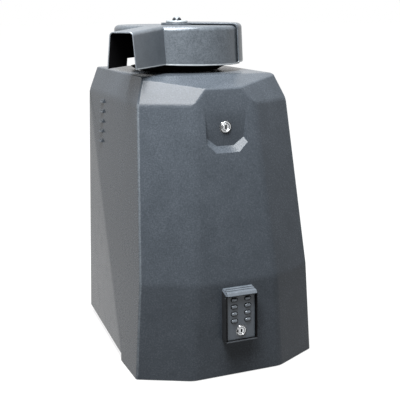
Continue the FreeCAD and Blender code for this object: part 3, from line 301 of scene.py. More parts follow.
def flaked(name, dark, light, patch, rough, flake, depth, **shader):
    """Paint with metal flakes, each of which takes the light in its own way."""
    material, tree, place, body = surface(name, shader)
    drift = add_node(tree, "ShaderNodeTexNoise", {"Scale": per_mm(patch), "Detail": 4.0}, {"Vector": place})
    cells = add_node(tree, "ShaderNodeTexVoronoi", {"Scale": per_mm(flake)}, {"Vector": place})
    spark = add_node(tree, "ShaderNodeSeparateColor", None, {"Color": cells.outputs["Color"]})
    both = add_node(
        tree, "ShaderNodeMath", None, {0: drift.outputs["Fac"], 1: spark.outputs["Red"]}, operation="ADD")
    low, high = FLAKE_SPAN
    amount = add_node(
        tree, "ShaderNodeMapRange", {"From Min": low, "From Max": high}, {"Value": both.outputs["Value"]})
    shade(tree, body, amount.outputs["Result"], dark, light, rough, spark.outputs["Red"], depth)
    return material


def layered(name, dark, light, sheet, rough, depth, **shader):
    """Thin sheets stacked along X, each a little apart from the next."""
    material, tree, place, body = surface(name, shader)
    waves = {"Scale": per_mm(sheet) * WAVE_BAND, "Distortion": SHEET_WANDER}
    lines = add_node(tree, "ShaderNodeTexWave", waves, {"Vector": place})
    shade(tree, body, lines.outputs["Fac"], dark, light, rough, lines.outputs["Fac"], depth)
    return material


def printed_board(name, dark, light, track, rough, depth, **shader):
    """A board that stands upright, with copper tracks under its mask."""
    material, tree, place, body = surface(name, shader)
    turned_up = add_node(
        tree, "ShaderNodeMapping", {"Rotation": (pi / 2, 0, 0)}, {"Vector": place}).outputs["Vector"]
    black = linear("#000000")
    tracks = add_node(
        tree, "ShaderNodeTexBrick",
        {"Scale": 1.0, "Mortar Size": track * TRACK_HALF * MM, "Brick Width": track * TRACK_RUN * MM,
         "Row Height": track * MM, "Color1": black, "Color2": black, "Mortar": linear("#ffffff")},
        {"Vector": turned_up})
    shade(tree, body, tracks.outputs["Color"], dark, light, rough, tracks.outputs["Color"], depth)
    return material


FINISHES = {}
EDGES = {}


def finish(slot, name, dark, light, edge, patch, rough, grain, depth, **more):
    """A finish for one of the record's slots, with a paler or barer one for its worn edges, which on the
    cover's upright corners paints a highlight.
    """
    FINISHES[slot] = mottled(name, dark, light, patch, rough, grain, depth, **more)
    EDGES[slot] = mottled(name + "_worn_edge", light, edge, patch / 4, rough, grain, depth, **more)


# Rotomoulded polyethylene: a dull charcoal skin with a sandy grain; a paler version on its upright corners
# paints the highlight along their rounded edges.
# The grain is drawn coarser than it is, so that it shows.
finish("cover_plastic", "moulded_polyethylene", "#2c3136", "#3c4147", "#5d6368", 40, (0.20, 0.30), 2.6,
       0.07, clouds=0.35, **{"Specular IOR Level": 0.11})
# Nickel plate on a pressed lock face: a soft mirror with a faint cloudiness.
finish("chrome", "nickel_plate", "#a9acae", "#c9cbcd", "#d5d7d8", 6, (0.22, 0.34), 2, 0.003,
       Metallic=1.0)
# Turned and ground steel: rings of tool marks that spread the shine.
finish("bright_steel", "ground_steel", "#878b90", "#a3a7ab", "#c3c6c8", 15, (0.2, 0.36), 1.0, 0.006,
       stretch=(0.15, 1, 1), Metallic=1.0)
# Zinc plate: a pale cool metal with a faint spangle.
finish("zinc_steel", "zinc_plate", "#92948f", "#b0b1ac", "#c9cac6", 9, (0.26, 0.42), 1.2, 0.005,
       Metallic=1.0)
# Black powder coat: fine orange peel, burnished grey along the bends.
finish("frame_paint", "black_powder_coat", "#17181a", "#242628", "#4a4d50", 25, (0.42, 0.56), 1.6, 0.03,
       **{"Specular IOR Level": 0.3})
# Painted iron casting: sand texture under thick grey enamel, thin on the edges.
finish("cast_iron", "painted_casting", "#353a3f", "#4a4f54", "#6a6f74", 14, (0.42, 0.62), 2.2, 0.12)
# Machined bronze: warm metal with the cutter's lines.
finish("bronze", "machined_bronze", "#a3743a", "#c4965a", "#d8b27c", 12, (0.2, 0.36), 1.2, 0.006,
       stretch=(1, 1, 0.2), Metallic=1.0)
# Black rubber: matt and dusty.
finish("black_rubber", "black_rubber", "#0b0b0c", "#151516", "#1d1d1e", 10, (0.6, 0.8), 1.0, 0.03,
       **{"Specular IOR Level": 0.12})
# Motor enamel: glossy dark blue over ribs, chipped on their crests.
finish("motor_paint", "motor_enamel", "#1f2d3c", "#2d3d4e", "#58687a", 18, (0.28, 0.44), 1.6, 0.02)
# Die-cast alloy: matt silver skin with flow marks.
finish("alloy", "die_cast_alloy", "#84878a", "#a5a8aa", "#c2c5c7", 10, (0.36, 0.52), 1.6, 0.03,
       Metallic=1.0)
# Black moulding: fine spark texture, a little shiny where it is handled.
finish("black_plastic", "black_moulding", "#131416", "#212224", "#34363a", 10, (0.36, 0.54), 1.0, 0.015)
# Enamel on the keypad's steel: smooth, dark grey, bright on its folds.
finish("pad_grey", "pad_enamel", "#34393f", "#42474d", "#757c83", 16, (0.28, 0.42), 1.3, 0.012,
       **{"Specular IOR Level": 0.35})
# Satin metal key caps: paler than the plate, with a soft shine on their crowns.
finish("key_metal", "satin_key_metal", "#4e545a", "#60666c", "#6c7278", 6, (0.2, 0.3), 0.9, 0.005,
       Metallic=0.4)

# Silver-grey paint with metal flakes: a speckled sheen. A paler, shinier version on the channel's open end
# paints the highlight that its rim catches.
FINISHES["arm_paint"] = flaked(
    "flaked_silver_paint", "#363b40", "#4f555b", 26, (0.28, 0.42), 1.9, 0.02, Metallic=0.25,
    **{"Specular IOR Level": 0.3})
EDGES["arm_paint"] = mottled(
    "flaked_silver_paint_worn_edge", "#5a6066", "#7b8187", 8, (0.25, 0.35), 1.2, 0.01, Metallic=0.6)
# Green solder mask: semi-gloss, with raised tracks that show through a little paler.
FINISHES["board_green"] = printed_board("solder_mask", "#0d4523", "#1d6d3c", 4.0, (0.24, 0.34), 0.03)
EDGES["board_green"] = mottled("laminate_edge", "#8a8550", "#a09b66", 5, (0.5, 0.6), 0.6, 0.01)
# Varnished iron sheets: brown-grey lines with a dull shine.
FINISHES["transformer_iron"] = layered(
    "varnished_iron", "#3c372f", "#665d50", 1.6, (0.36, 0.5), 0.1, Metallic=0.5)
EDGES["transformer_iron"] = FINISHES["transformer_iron"]
# Rolled hem of bare alloy, dulled by weather: a thin pale line along the rims, which also paints the
# highlight that their rounded edges catch.
hem_and_highlight = mottled("rolled_hem_and_highlight", "#7e8488", "#969ca0", 9, (0.3, 0.42), 1.5, 0.004, Metallic=0.2)
# Enamel on the keypad's face plate: a shade paler than its box.
plate_enamel = mottled("plate_enamel", "#353b42", "#41484f", 16, (0.3, 0.42), 1.3, 0.012)
# Enamel on the keypad's rain hood: paler again, as painted light on its up-facing roof and lip.
hood_painted_light = mottled("hood_painted_light", "#3c4248", "#4a5057", 16, (0.3, 0.42), 1.3, 0.012)
# Zinc on the arm's washer, gone dull and grey outdoors. On the bolt's crown the same pale grey paints the
# highlight on top of its dark dome.
zinc_and_crown_highlight = mottled("zinc_and_crown_highlight", "#6a7074", "#858b8f", 6, (0.4, 0.5), 1.2, 0.01, Metallic=0.4)
# Matt black that paints shade: inside the arm's shells and the keypad's box, in the locks' grooves and
# keyholes, round the lock heads, under the washer and on the crank arm. It swallows the light.
painted_shade_black = mottled(
    "painted_shade_black", "#060607", "#0d0d0e", 15, (0.7, 0.85), 1.5, 0.02, **{"Specular IOR Level": 0.05})
# The arm's bolt: a dark steel whose colour paints the dark reflection on its shiny dome, with small sharp
# lights.
dark_reflection_bolt = mottled("dark_reflection_steel", "#1d2024", "#33373b", 5, (0.2, 0.36), 1.2, 0.01, Metallic=0.6)
# Copper winding under amber varnish: warm, shiny lines of wire.
winding = layered("varnished_winding", "#6a3a1c", "#a8683a", 1.4, (0.25, 0.4), 0.12, Metallic=0.7)

OWN_FINISH = {
    # The crank arm under the drum is painted black as the deep shade it stands in
    "crank_arm": painted_shade_black,
    "arm_cover_bolt": dark_reflection_bolt,
    "arm_cover_washer": zinc_and_crown_highlight,
    "keypad_plate": plate_enamel,
}
SLOT_OF = {entry["node"]: entry["material_slot"] for entry in frame["record"]["subparts"]}
BODY_OF = {node: body for body, held in frame["record"]["behaviour"]["bodies"].items() for node in held}
for node_name, slot_name in SLOT_OF.items():
    slots = nodes[node_name].data.materials
    slots.clear()
    slots.append(OWN_FINISH.get(node_name, FINISHES[slot_name]))


# Tools for meshes

# How near to a cutting plane a point counts as on it, in metres
ON_PLANE = 1e-7


def loose_object(name, bm):
    """An object made from a bmesh, which ends the bmesh."""
    mesh = bpy.data.meshes.new(name)
    bm.to_mesh(mesh)
    bm.free()
    piece = bpy.data.objects.new(name, mesh)
    bpy.context.scene.collection.objects.link(piece)
    return piece


def settle(piece):
    """Makes an object's modifiers part of its mesh."""
    graph = bpy.context.evaluated_depsgraph_get()
    mesh = bpy.data.meshes.new_from_object(piece.evaluated_get(graph))
    piece.modifiers.clear()
    piece.data = mesh


def carve(piece, cutter, operation="DIFFERENCE"):
    """Cuts one object with another, or joins them, and removes the other."""
    cut = piece.modifiers.new("cut", "BOOLEAN")
    cut.operation = operation
    cut.solver = "MANIFOLD"
    cut.object = cutter
    settle(piece)
    bpy.data.objects.remove(cutter)


def triangulate_bent(bm):
    """Splits faces with many corners into triangles."""
    bmesh.ops.triangulate(bm, faces=[face for face in bm.faces if len(face.verts) > 4])


def round_edges(piece, width, segments, angle, worn):
    """Rounds what is sharper than an angle in degrees, and keeps flat faces flat to the eye.

    Worn is the place of the rounded edges' own finish among the piece's finishes.
    """
    soft = piece.modifiers.new("soft_edges", "BEVEL")
    soft.width = width * MM
    soft.segments = segments
    soft.limit_method = "ANGLE"
    soft.angle_limit = radians(angle)
    soft.use_clamp_overlap = False
    soft.material = worn
    for face in piece.data.polygons:
        face.use_smooth = True
    flat = piece.modifiers.new("flat_faces", "WEIGHTED_NORMAL")
    flat.keep_sharp = True
    flat.weight = FLAT_WEIGHT


def stand_in(piece, node, *more):
    """Puts a finished piece in place of a CAD node, on its body and in its finishes and more."""
    slot = SLOT_OF[node]
    main = OWN_FINISH.get(node, FINISHES[slot])
    worn = OWN_FINISH.get(node, EDGES[slot])
    for material in (main, worn, *more):
        piece.data.materials.append(material)
    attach(piece, BODY_OF[node])
    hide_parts(node)


def cad_copy(node):
    """A bmesh of a CAD piece with its triangles merged to clean faces."""
    bm = bmesh.new()
    bm.from_mesh(nodes[node].data)
    bmesh.ops.remove_doubles(bm, verts=bm.verts[:], dist=MERGE_NEAR * MM)
    bmesh.ops.dissolve_limit(
        bm, angle_limit=radians(FLAT_ENOUGH), verts=bm.verts[:], edges=bm.edges[:])
    return bm


def softened(node, bm, width, *more, angle=EDGE_ANGLE, worn=WEAR_AND_HIGHLIGHT):
    """Rounds the edges of a CAD piece's better shape, and puts it in the piece's place."""
    piece = loose_object(node + "_finish", bm)
    round_edges(piece, width, EDGE_STEPS, angle, worn)
    stand_in(piece, node, *more)


def added(name, bm, node, slot, width):
    """A new piece that moves with a node and takes the finish of a slot."""
    piece = loose_object(name, bm)
    round_edges(piece, width, EDGE_STEPS, EDGE_ANGLE, WEAR_AND_HIGHLIGHT)
    piece.data.materials.append(FINISHES[slot])
    piece.data.materials.append(EDGES[slot])
    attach(piece, BODY_OF[node])


def placed(bm, place):
    """Moves a whole bmesh to a place."""
    bmesh.ops.transform(bm, matrix=place, verts=bm.verts[:])


def faced_out(bm):
    """Turns all faces of a bmesh outwards."""
    bmesh.ops.recalc_face_normals(bm, faces=bm.faces[:])


def slab(low, high):
    """A box between two corners given in millimetres."""
    low = Vector(low) * MM
    high = Vector(high) * MM
    bm = bmesh.new()
    place = Matrix.Translation((low + high) / 2) @ Matrix.Diagonal((*(high - low), 1.0))
    bmesh.ops.create_cube(bm, size=1.0, matrix=place)
    return bm


def turned(outline, place, closed=True, steps=TURN_STEPS):
    """An outline of radius and height in millimetres, turned about the Z axis of a place."""
    bm = bmesh.new()
    ring = [bm.verts.new(Vector((radius, 0, height)) * MM) for radius, height in outline]
    pairs = list(zip(ring, ring[1:]))
    if closed:
        pairs.append((ring[-1], ring[0]))
    edges = [bm.edges.new(pair) for pair in pairs]
    bmesh.ops.spin(
        bm, geom=ring + edges, cent=(0, 0, 0), axis=(0, 0, 1), dvec=(0, 0, 0), angle=2 * pi,
        steps=steps, use_merge=True)
    bmesh.ops.remove_doubles(bm, verts=bm.verts[:], dist=MERGE_NEAR * MM)
    faced_out(bm)
    placed(bm, place)
    return bm


def gathered(parts):
    """Several bmeshes as one, which ends them."""
    whole = bmesh.new()
    for bm in parts:
        mesh = bpy.data.meshes.new("part")
        bm.to_mesh(mesh)
        bm.free()
        whole.from_mesh(mesh)
        bpy.data.meshes.remove(mesh)
    return whole


def at(x, y, z):
    """A place in millimetres."""
    return Matrix.Translation(Vector((x, y, z)) * MM)


def split(bm, point, normal):
    """Cuts the faces along a plane, given in metres, and keeps both sides."""
    everything = bm.verts[:] + bm.edges[:] + bm.faces[:]
    bmesh.ops.bisect_plane(bm, geom=everything, dist=ON_PLANE, plane_co=point, plane_no=normal)
    bm.normal_update()


def trim(bm, planes):
    """Takes away what lies beyond each plane, given in millimetres, and closes the cut."""
    for point, outward in planes:
        everything = bm.verts[:] + bm.edges[:] + bm.faces[:]
        cut = bmesh.ops.bisect_plane(
            bm, geom=everything, dist=ON_PLANE, plane_co=point * MM, plane_no=outward, clear_outer=True)
        rim = [e for e in cut["geom_cut"] if isinstance(e, bmesh.types.BMEdge)]
        if rim:
            bmesh.ops.contextual_create(bm, geom=rim)
    faced_out(bm)


def plane_of(p, q, r, inside):
    """The plane through three points, with its unit normal pointing away from a point inside."""
    normal = (q - p).cross(r - p).normalized()
    if normal.dot(inside - p) > 0:
        normal = -normal
    return p, normal


def grown(planes, by):
    """The same planes moved outwards."""
    return [(point + normal * by, normal) for point, normal in planes]


# Cover

FRONT_Y = -COVER_DEPTH / 2
REAR_Y = COVER_DEPTH / 2
REAR_NEAR = 0.05
BEYOND = 300.0


def front_at(z):
    """How far back the front lies at a height."""
    low = FRONT_Y + FRONT_LOW_LEAN * min(z, CREASE_Z)
    return low + FRONT_HIGH_LEAN * max(0.0, z - CREASE_Z)


def corner_reach(z):
    """How far the front corners' facets lie from the middle at a height."""
    low = CORNER_FOOT_REACH - CORNER_LOW_LEAN * min(z, CREASE_Z)
    return low - CORNER_HIGH_LEAN * max(0.0, z - CREASE_Z)


def side_half(z):
    """Half the width between the sides at a height."""
    return SIDE_FOOT_HALF - SIDE_LEAN * z


def flank_plane():
    """The left flank, which turns in towards the rear foot."""
    foot = Vector((-SIDE_FOOT_HALF, FLANK_FOOT_Y, 0))
    head = Vector((-side_half(FLANK_HEAD_Z), REAR_Y, FLANK_HEAD_Z))
    return plane_of(foot, head, Vector((-REAR_FOOT_HALF, REAR_Y, 0)), Vector((0, 0, CREASE_Z)))


def cover_facets():
    """The outward planes of the cover by name, those on the right with the same names as their mirrors."""
    away = Vector((-sin(CORNER_PLAN), -cos(CORNER_PLAN), 0))
    low_point = away * corner_reach(CREASE_Z) + Vector((0, 0, CREASE_Z))
    high_point = away * corner_reach(SHOULDER_Z) + Vector((0, 0, SHOULDER_Z))
    up = Vector((0, 0, 1))
    shoulder_point = Vector((-side_half(SHOULDER_Z), 0, SHOULDER_Z))
    middle = [
        ("front_low", Vector((0, FRONT_Y, 0)), Vector((0, -1, FRONT_LOW_LEAN))),
        ("front_high", Vector((0, front_at(CREASE_Z), CREASE_Z)), Vector((0, -1, FRONT_HIGH_LEAN))),
        ("brow", Vector((0, front_at(BROW_Z), BROW_Z)), Vector((0, -BROW_RISE, 1))),
        ("top", Vector((0, 0, TOP_Z)), up),
    ]
    left = [
        ("corner_low", low_point, away + up * CORNER_LOW_LEAN),
        ("corner_high", low_point, away + up * CORNER_HIGH_LEAN),
        ("shoulder", high_point, away + up * SHOULDER_LEAN),
        ("side", Vector((-SIDE_FOOT_HALF, 0, 0)), Vector((-1, 0, SIDE_LEAN))),
        ("side_shoulder", shoulder_point, Vector((-1, 0, SIDE_SHOULDER_LEAN))),
        ("flank", *flank_plane()),
    ]
    flip = Vector((-1, 1, 1))
    right = [(name, point * flip, normal * flip) for name, point, normal in left]
    return [(name, point, normal.normalized()) for name, point, normal in middle + left + right]


# How far each soft edge of the cover reaches into the facets beside it, in millimetres
SOFT_PAIRS = (
    ("front_low", "corner_low", 9.5),
    ("front_high", "corner_high", 9.5),
    ("front_low", "front_high", 5.3),
    ("corner_low", "corner_high", 5.3),
    ("corner_high", "shoulder", 5.0),
    ("front_high", "shoulder", 3.0),
    ("front_high", "brow", 4.0),
    ("shoulder", "brow", 2.5),
    ("shoulder", "top", 4.0),
    ("brow", "top", 6.0),
    ("side", "corner_low", 3.7),
    ("side", "corner_high", 3.7),
    ("side_shoulder", "shoulder", 3.7),
    ("side_shoulder", "top", 5.0),
    ("side", "side_shoulder", 7.0),
    ("side", "flank", 7.0),
)
SOFT_EDGES = {frozenset((one, other)): reach for one, other, reach in SOFT_PAIRS}
SOFT_EDGE_MOST = max(SOFT_EDGES.values())


def cover_block(by, low, high):
    """The faceted block of the cover, with its planes moved outwards by some millimetres."""
    bm = slab(low, high)
    trim(bm, grown([(point, normal) for name, point, normal in cover_facets()], by))
    return bm


def rounded_cover():
    """The cover's outside with an own softness for each kind of edge."""
    bm = cover_block(0.0, (-BEYOND, -BEYOND, COVER_FOOT_Z), (BEYOND, REAR_Y, TOP_Z + BEYOND))
    facets = cover_facets()

    def facet_of(face):
        """The name of the facet that a face lies on."""
        name, point, normal = max(facets, key=lambda facet: facet[2].dot(face.normal))
        return name if normal.dot(face.normal) > SAME_FACING else "open"

    weights = bm.edges.layers.float.new("bevel_weight_edge")
    for edge in bm.edges:
        pair = frozenset(facet_of(face) for face in edge.link_faces)
        edge[weights] = SOFT_EDGES.get(pair, 0.0) / SOFT_EDGE_MOST
    piece = loose_object("operator_cover_finish", bm)
    soft = piece.modifiers.new("facet_edges", "BEVEL")
    soft.width = SOFT_EDGE_MOST * MM
    soft.segments = FACET_STEPS
    soft.limit_method = "WEIGHT"
    soft.use_clamp_overlap = False
    settle(piece)
    return piece


RECESS_FLOOR_Y = front_at(RECESS_TOP_Z)


def recess_block(by):
    """The hollow of the lock recess, whose floor is upright, with its walls moved outwards."""
    low_end = (-2 * RECESS_HALF, -BEYOND, RECESS_LOW_Z - RECESS_HALF)
    high_end = (2 * RECESS_HALF, RECESS_FLOOR_Y + by, RECESS_TOP_Z + RECESS_HALF)
    bm = slab(low_end, high_end)

    def spot(x, z):
        """A point on the cover's front."""
        return Vector((x, front_at(z), z))

    inside = Vector((0, RECESS_FLOOR_Y, LOCK_Z))
    walls = []
    for side in (-1, 1):
        top = spot(side * RECESS_HALF, RECESS_TOP_Z)
        mid = spot(side * RECESS_HALF, RECESS_SIDE_Z)
        low = spot(side * RECESS_LOW_HALF, RECESS_LOW_Z)
        walls.append(plane_of(top, mid, top + Vector((-side * RECESS_DRAFT, 1, 0)), inside))
        walls.append(plane_of(mid, low, mid + Vector((-side * RECESS_DRAFT, 1, RECESS_LOW_DRAFT)), inside))
    left = spot(-RECESS_LOW_HALF, RECESS_LOW_Z)
    right = spot(RECESS_LOW_HALF, RECESS_LOW_Z)
    walls.append(plane_of(left, right, left + Vector((0, 1, RECESS_LOW_DRAFT)), inside))
    trim(bm, grown(walls, by))
    return bm


def cover_hollow():
    """The room inside the cover, which leaves its wall all round, also behind the recess."""
    bm = cover_block(-COVER_WALL, (-BEYOND, -BEYOND, -BEYOND), (BEYOND, BEYOND, TOP_Z + BEYOND))
    room = loose_object("hollow", bm)
    carve(room, loose_object("recess_back", recess_block(COVER_WALL)))
    return room


def flank_x(z):
    """The left flank's outer face where the vents sit."""
    point, normal = flank_plane()
    middle = VENT_FRONT_Y + VENT_LENGTH / 2
    bent = point.x - (normal.y * (middle - point.y) + normal.z * (z - point.z)) / normal.x
    return max(bent, -side_half(z))


def vent_blocks(side):
    """The hoods of one flank's vents and the slots under them, as two bmeshes."""
    hoods = bmesh.new()
    slots = []
    rear = VENT_FRONT_Y + VENT_LENGTH
    for i in range(VENT_COUNT):
        z = VENT_TOP_Z - i * VENT_PITCH
        x = flank_x(z - VENT_HEIGHT)
        root = x + VENT_ROOT
        lip = [(root, z), (x - VENT_REACH, z - VENT_HEIGHT), (root, z - VENT_HEIGHT)]
        corners = [hoods.verts.new(Vector((a, VENT_FRONT_Y, b)) * MM) for a, b in lip]
        end = hoods.faces.new(corners)
        pulled = bmesh.ops.extrude_face_region(hoods, geom=[end])
        moved = [v for v in pulled["geom"] if isinstance(v, bmesh.types.BMVert)]
        bmesh.ops.translate(hoods, verts=moved, vec=(0, VENT_LENGTH * MM, 0))
        low = z - VENT_HEIGHT - VENT_SLOT_DROP
        near = (x - VENT_REACH / 2, VENT_FRONT_Y + VENT_END, low)
        slots.append(slab(near, (x + 3 * COVER_WALL, rear - VENT_END, low + VENT_SLOT)))
    slots = gathered(slots)
    for bm in (hoods, slots):
        bmesh.ops.scale(bm, vec=(side, 1, 1), verts=bm.verts[:])
        faced_out(bm)
    return hoods, slots


def round_hole(radius, start, end):
    """A cylinder between two points in millimetres, for a cut."""
    line = Vector(end) - Vector(start)
    bm = bmesh.new()
    turn = line.to_track_quat("Z", "Y").to_matrix().to_4x4()
    place = Matrix.Translation((Vector(start) + Vector(end)) / 2 * MM) @ turn
    bmesh.ops.create_cone(
        bm, cap_ends=True, segments=WIDE_TURN_STEPS, radius1=radius * MM, radius2=radius * MM,
        depth=line.length * MM, matrix=place)
    return bm


def refill_rear(bm):
    """Fills the rear rim anew, since its outline goes round the opening."""
    near = (REAR_Y - REAR_NEAR) * MM
    rim = [face for face in bm.faces if all(vert.co.y > near for vert in face.verts)]
    held = set(rim)
    outline = [edge for face in rim for edge in face.edges if not held.issuperset(edge.link_faces)]
    bmesh.ops.delete(bm, geom=rim, context="FACES")
    bmesh.ops.triangle_fill(bm, edges=outline, use_beauty=True, normal=(0, 1, 0))


def tidy_faces(piece):
    """Splits bent outlines into triangles, and merges the slivers that cuts leave."""
    bm = bmesh.new()
    bm.from_mesh(piece.data)
    refill_rear(bm)
    triangulate_bent(bm)
    bmesh.ops.remove_doubles(bm, verts=bm.verts[:], dist=SLIVER_WIDE * MM)
    bmesh.ops.dissolve_degenerate(bm, edges=bm.edges[:], dist=SLIVER_LONG * MM)
    bm.to_mesh(piece.data)
    bm.free()


def in_corner_highlight(face):
    """Whether a face of the cover lies on one of the upright corners beside its sides, which take a painted
    highlight.
    """
    across, out, up = face.normal
    least, most = HIGHLIGHT_ACROSS
    corner = least < abs(across) < most and out < HIGHLIGHT_OUT and abs(up) < HIGHLIGHT_UP
    return corner and abs(face.center.x) > HIGHLIGHT_NEAR * MM


def crease_recess(piece):
    """Keeps the recess's shallow edges crisp, which are too flat to be rounded."""
    bm = bmesh.new()
    bm.from_mesh(piece.data)

    def in_recess(vert):
        """Whether a corner lies in the recess, or within a millimetre of it."""
        x, y, z = vert.co / MM
        high = RECESS_LOW_Z - 1 < z < RECESS_TOP_Z + 1
        return high and abs(x) < RECESS_HALF + 1 and y < RECESS_FLOOR_Y + 1

    for edge in bm.edges:
        shallow = radians(CREASE_LEAST) < edge.calc_face_angle(0.0) < radians(RIM_ANGLE)
        if shallow and all(in_recess(vert) for vert in edge.verts):
            edge.smooth = False
    bm.to_mesh(piece.data)
    bm.free()


def operator_cover():
    """The cover with its vents, its hollow, its openings and a painted highlight on its upright corners."""
    piece = rounded_cover()
    cutters = []
    for side in (1, -1):
        hoods, slots = vent_blocks(side)
        carve(piece, loose_object("hoods", hoods), "UNION")
        cutters.append(slots)
    under = TOP_Z - 2 * COVER_WALL
    cutters.append(recess_block(0.0))
    cutters.append(round_hole(HUB_HOLE_RADIUS, (0, SHAFT_Y, under), (0, SHAFT_Y, TOP_Z + BEYOND)))
    cutters.append(slab((-HUB_SLOT_HALF, SHAFT_Y, under), (HUB_SLOT_HALF, BEYOND, TOP_Z + BEYOND)))
    cutters.append(slab((-BEYOND, HEEL_Y, -BEYOND), (BEYOND, BEYOND, COVER_FOOT_Z + HEEL_RISE)))
    carve(piece, cover_hollow())
    for bm in cutters:
        carve(piece, loose_object("cutter", bm))
    behind = RECESS_FLOOR_Y + 2 * COVER_WALL
    lock_hole = round_hole(LOCK_HOLE, (0, FRONT_Y, LOCK_Z), (0, behind, LOCK_Z))
    carve(piece, loose_object("lock_hole", lock_hole))
    tidy_faces(piece)
    crease_recess(piece)
    piece.data.materials.clear()
    # The upright corners take the paler finish, which paints a highlight along them
    for face in piece.data.polygons:
        face.material_index = WEAR_AND_HIGHLIGHT if in_corner_highlight(face) else OWN
    round_edges(piece, RIM_ROUND, RIM_STEPS, RIM_ANGLE, AS_BESIDE)
    stand_in(piece, "operator_cover")


operator_cover()


# Arm cover

TO_ARM = Matrix.Rotation(-ARM_TURN, 3, "Z")
FROM_ARM = Matrix.Rotation(ARM_TURN, 3, "Z")
ON_SHAFT = at(0, SHAFT_Y, 0)
SHELL_EDGE = 0.8


def seen_on_arm(face):
    """A face's middle in millimetres and its normal, from the shaft with X along the arm."""
    middle = TO_ARM @ (face.calc_center_median() / MM - Vector((0, SHAFT_Y, 0)))
    return middle, TO_ARM @ face.normal


def inside_shell(face):
    """Whether a face of the arm's shells looks at their inside."""
    middle, normal = seen_on_arm(face)
    if normal.z < -LEANS_TO:
        return middle.z > DRUM_Z + 2 * LIFT_RISE
    if middle.x > DRUM_RADIUS:
        return normal.y * middle.y < -LEANS_TO * abs(middle.y)
    outward = Vector((middle.x, middle.y, 0)).normalized()
    return normal.dot(outward) < -LEANS_TO


def rim_below(middle, lean, lift):
    """How high a shell's lower rim lies under a point, in millimetres."""
    lifted = middle.y < -LIFT_NEAR and middle.x < DRUM_RADIUS + LIFT_REACH
    return DRUM_Z + lift if lifted and lift else DRUM_Z - lean * middle.y


def arm_shell(node, lean, lift):
    """A shell with a pale rolled hem along its lower rim and a paler open end, which paint the highlights
    on these rims, and an inside painted black as the shade within.

    Lean is the slope of its lower rim across the arm, and lift is how far the rim is raised beside the arm.
    """
    bm = cad_copy(node)
    for height, slope in ((0.0, lean), (lift, 0.0)):
        split(bm, Vector((0, SHAFT_Y, DRUM_Z + height + HEM)) * MM, FROM_ARM @ Vector((0, slope, 1)))
    for face in bm.faces:
        middle, normal = seen_on_arm(face)
        mouth = normal.x > SQUARE_ON and middle.x > CHANNEL_LENGTH - HEM
        low = middle.z < rim_below(middle, lean, lift) + HEM
        # The inside takes black as painted shade; the open end and the hem take pale finishes as painted
        # highlights
        if inside_shell(face):
            face.material_index = FIRST_ADDED
        elif mouth:
            face.material_index = WEAR_AND_HIGHLIGHT
        elif low:
            face.material_index = SECOND_ADDED
    softened(node, bm, SHELL_EDGE, painted_shade_black, hem_and_highlight, worn=AS_BESIDE)


arm_shell("arm_cover_front", RIM_DROP / DRUM_RADIUS, LIFT_RISE)
arm_shell("arm_cover_rear", 0.0, 0.0)

# Outlines as radius and height in millimetres
WASHER_OUTLINE = [
    (5.6, WASHER_Z), (22.8, WASHER_Z), (22.8, WASHER_FOOT_Z), (23.8, WASHER_FOOT_Z),
    (23.4, WASHER_TOP - 1.2), (22.4, WASHER_TOP - 0.2), (12.0, WASHER_TOP), (5.6, WASHER_TOP),
]
BOLT_OUTLINE = [
    (0, BOLT_FOOT_Z), (5, BOLT_FOOT_Z), (5, WASHER_TOP), (10, WASHER_TOP), (10, WASHER_TOP + 1.2),
    (9.6, WASHER_TOP + 2.6), (8.6, WASHER_TOP + 4.4), (7.0, WASHER_TOP + 6.2), (4.8, WASHER_TOP + 7.8),
    (2.4, WASHER_TOP + 8.75), (0, WASHER_TOP + 9.0),
]
SKIRT_OUTLINE = [(88, 588.6), (91, 586.6), (118, 602.0), (118, 604.0), (115, 604.0), (88, 590.6)]
SKIRT_LOW_Z = 592.5
SKIRT_EDGE = 0.3


def turned_piece(node, bm, more):
    """Puts a turned piece in a CAD piece's place, with one more finish."""
    softened(node, bm, TURNED_EDGE, more, angle=TURNED_ANGLE)


def arm_washer():
    """A flat washer on an undercut foot that is painted black as the shadow line beneath it."""
    bm = turned(WASHER_OUTLINE, ON_SHAFT)
    for face in bm.faces:
        # The foot takes black as a painted shadow under the washer
        foot = face.calc_center_median().z < WASHER_FOOT_Z * MM
        face.material_index = FIRST_ADDED if foot else OWN
    turned_piece("arm_cover_washer", bm, painted_shade_black)


def arm_bolt():
    """A domed dark bolt whose crown is painted pale as its highlight on top."""
    bm = turned(BOLT_OUTLINE, ON_SHAFT, closed=False)
    for face in bm.faces:
        face.material_index = FIRST_ADDED if face.normal.z > BOLT_CROWN else OWN
    turned_piece("arm_cover_bolt", bm, zinc_and_crown_highlight)


def shade_skirt():
    """A black rubber skirt under the drum round the hub's hole, which keeps rain out and whose black paints
    the deep shade under the drum.

    It is cut low where the drum's rim is raised.
    """
    skirt = loose_object("skirt", turned(SKIRT_OUTLINE, ON_SHAFT, steps=WIDE_TURN_STEPS))
    far_end = (DRUM_RADIUS, -LIFT_NEAR, DRUM_Z + LIFT_RISE)
    raised = slab((-DRUM_RADIUS, -DRUM_RADIUS, SKIRT_LOW_Z), far_end)
    placed(raised, ON_SHAFT @ FROM_ARM.to_4x4())
    carve(skirt, loose_object("raised", raised))
    bm = bmesh.new()
    bm.from_mesh(skirt.data)
    bpy.data.objects.remove(skirt)
    added("arm_shade_skirt", bm, "arm_cover_front", "black_rubber", SKIRT_EDGE)


arm_washer()
arm_bolt()
shade_skirt()


# Locks

FACING_FRONT = Matrix.Rotation(pi / 2, 4, "X")
ON_PAD = at(0, front_at(PAD_Z), PAD_Z) @ Matrix.Rotation(-atan(FRONT_LOW_LEAN), 4, "X")
LOCK_PLACE = at(0, RECESS_FLOOR_Y, LOCK_Z) @ FACING_FRONT
PAD_LOCK_PLACE = ON_PAD @ at(0, -PAD_FACE, PAD_LOCK_Z) @ FACING_FRONT
PLUG_EDGE = 0.1


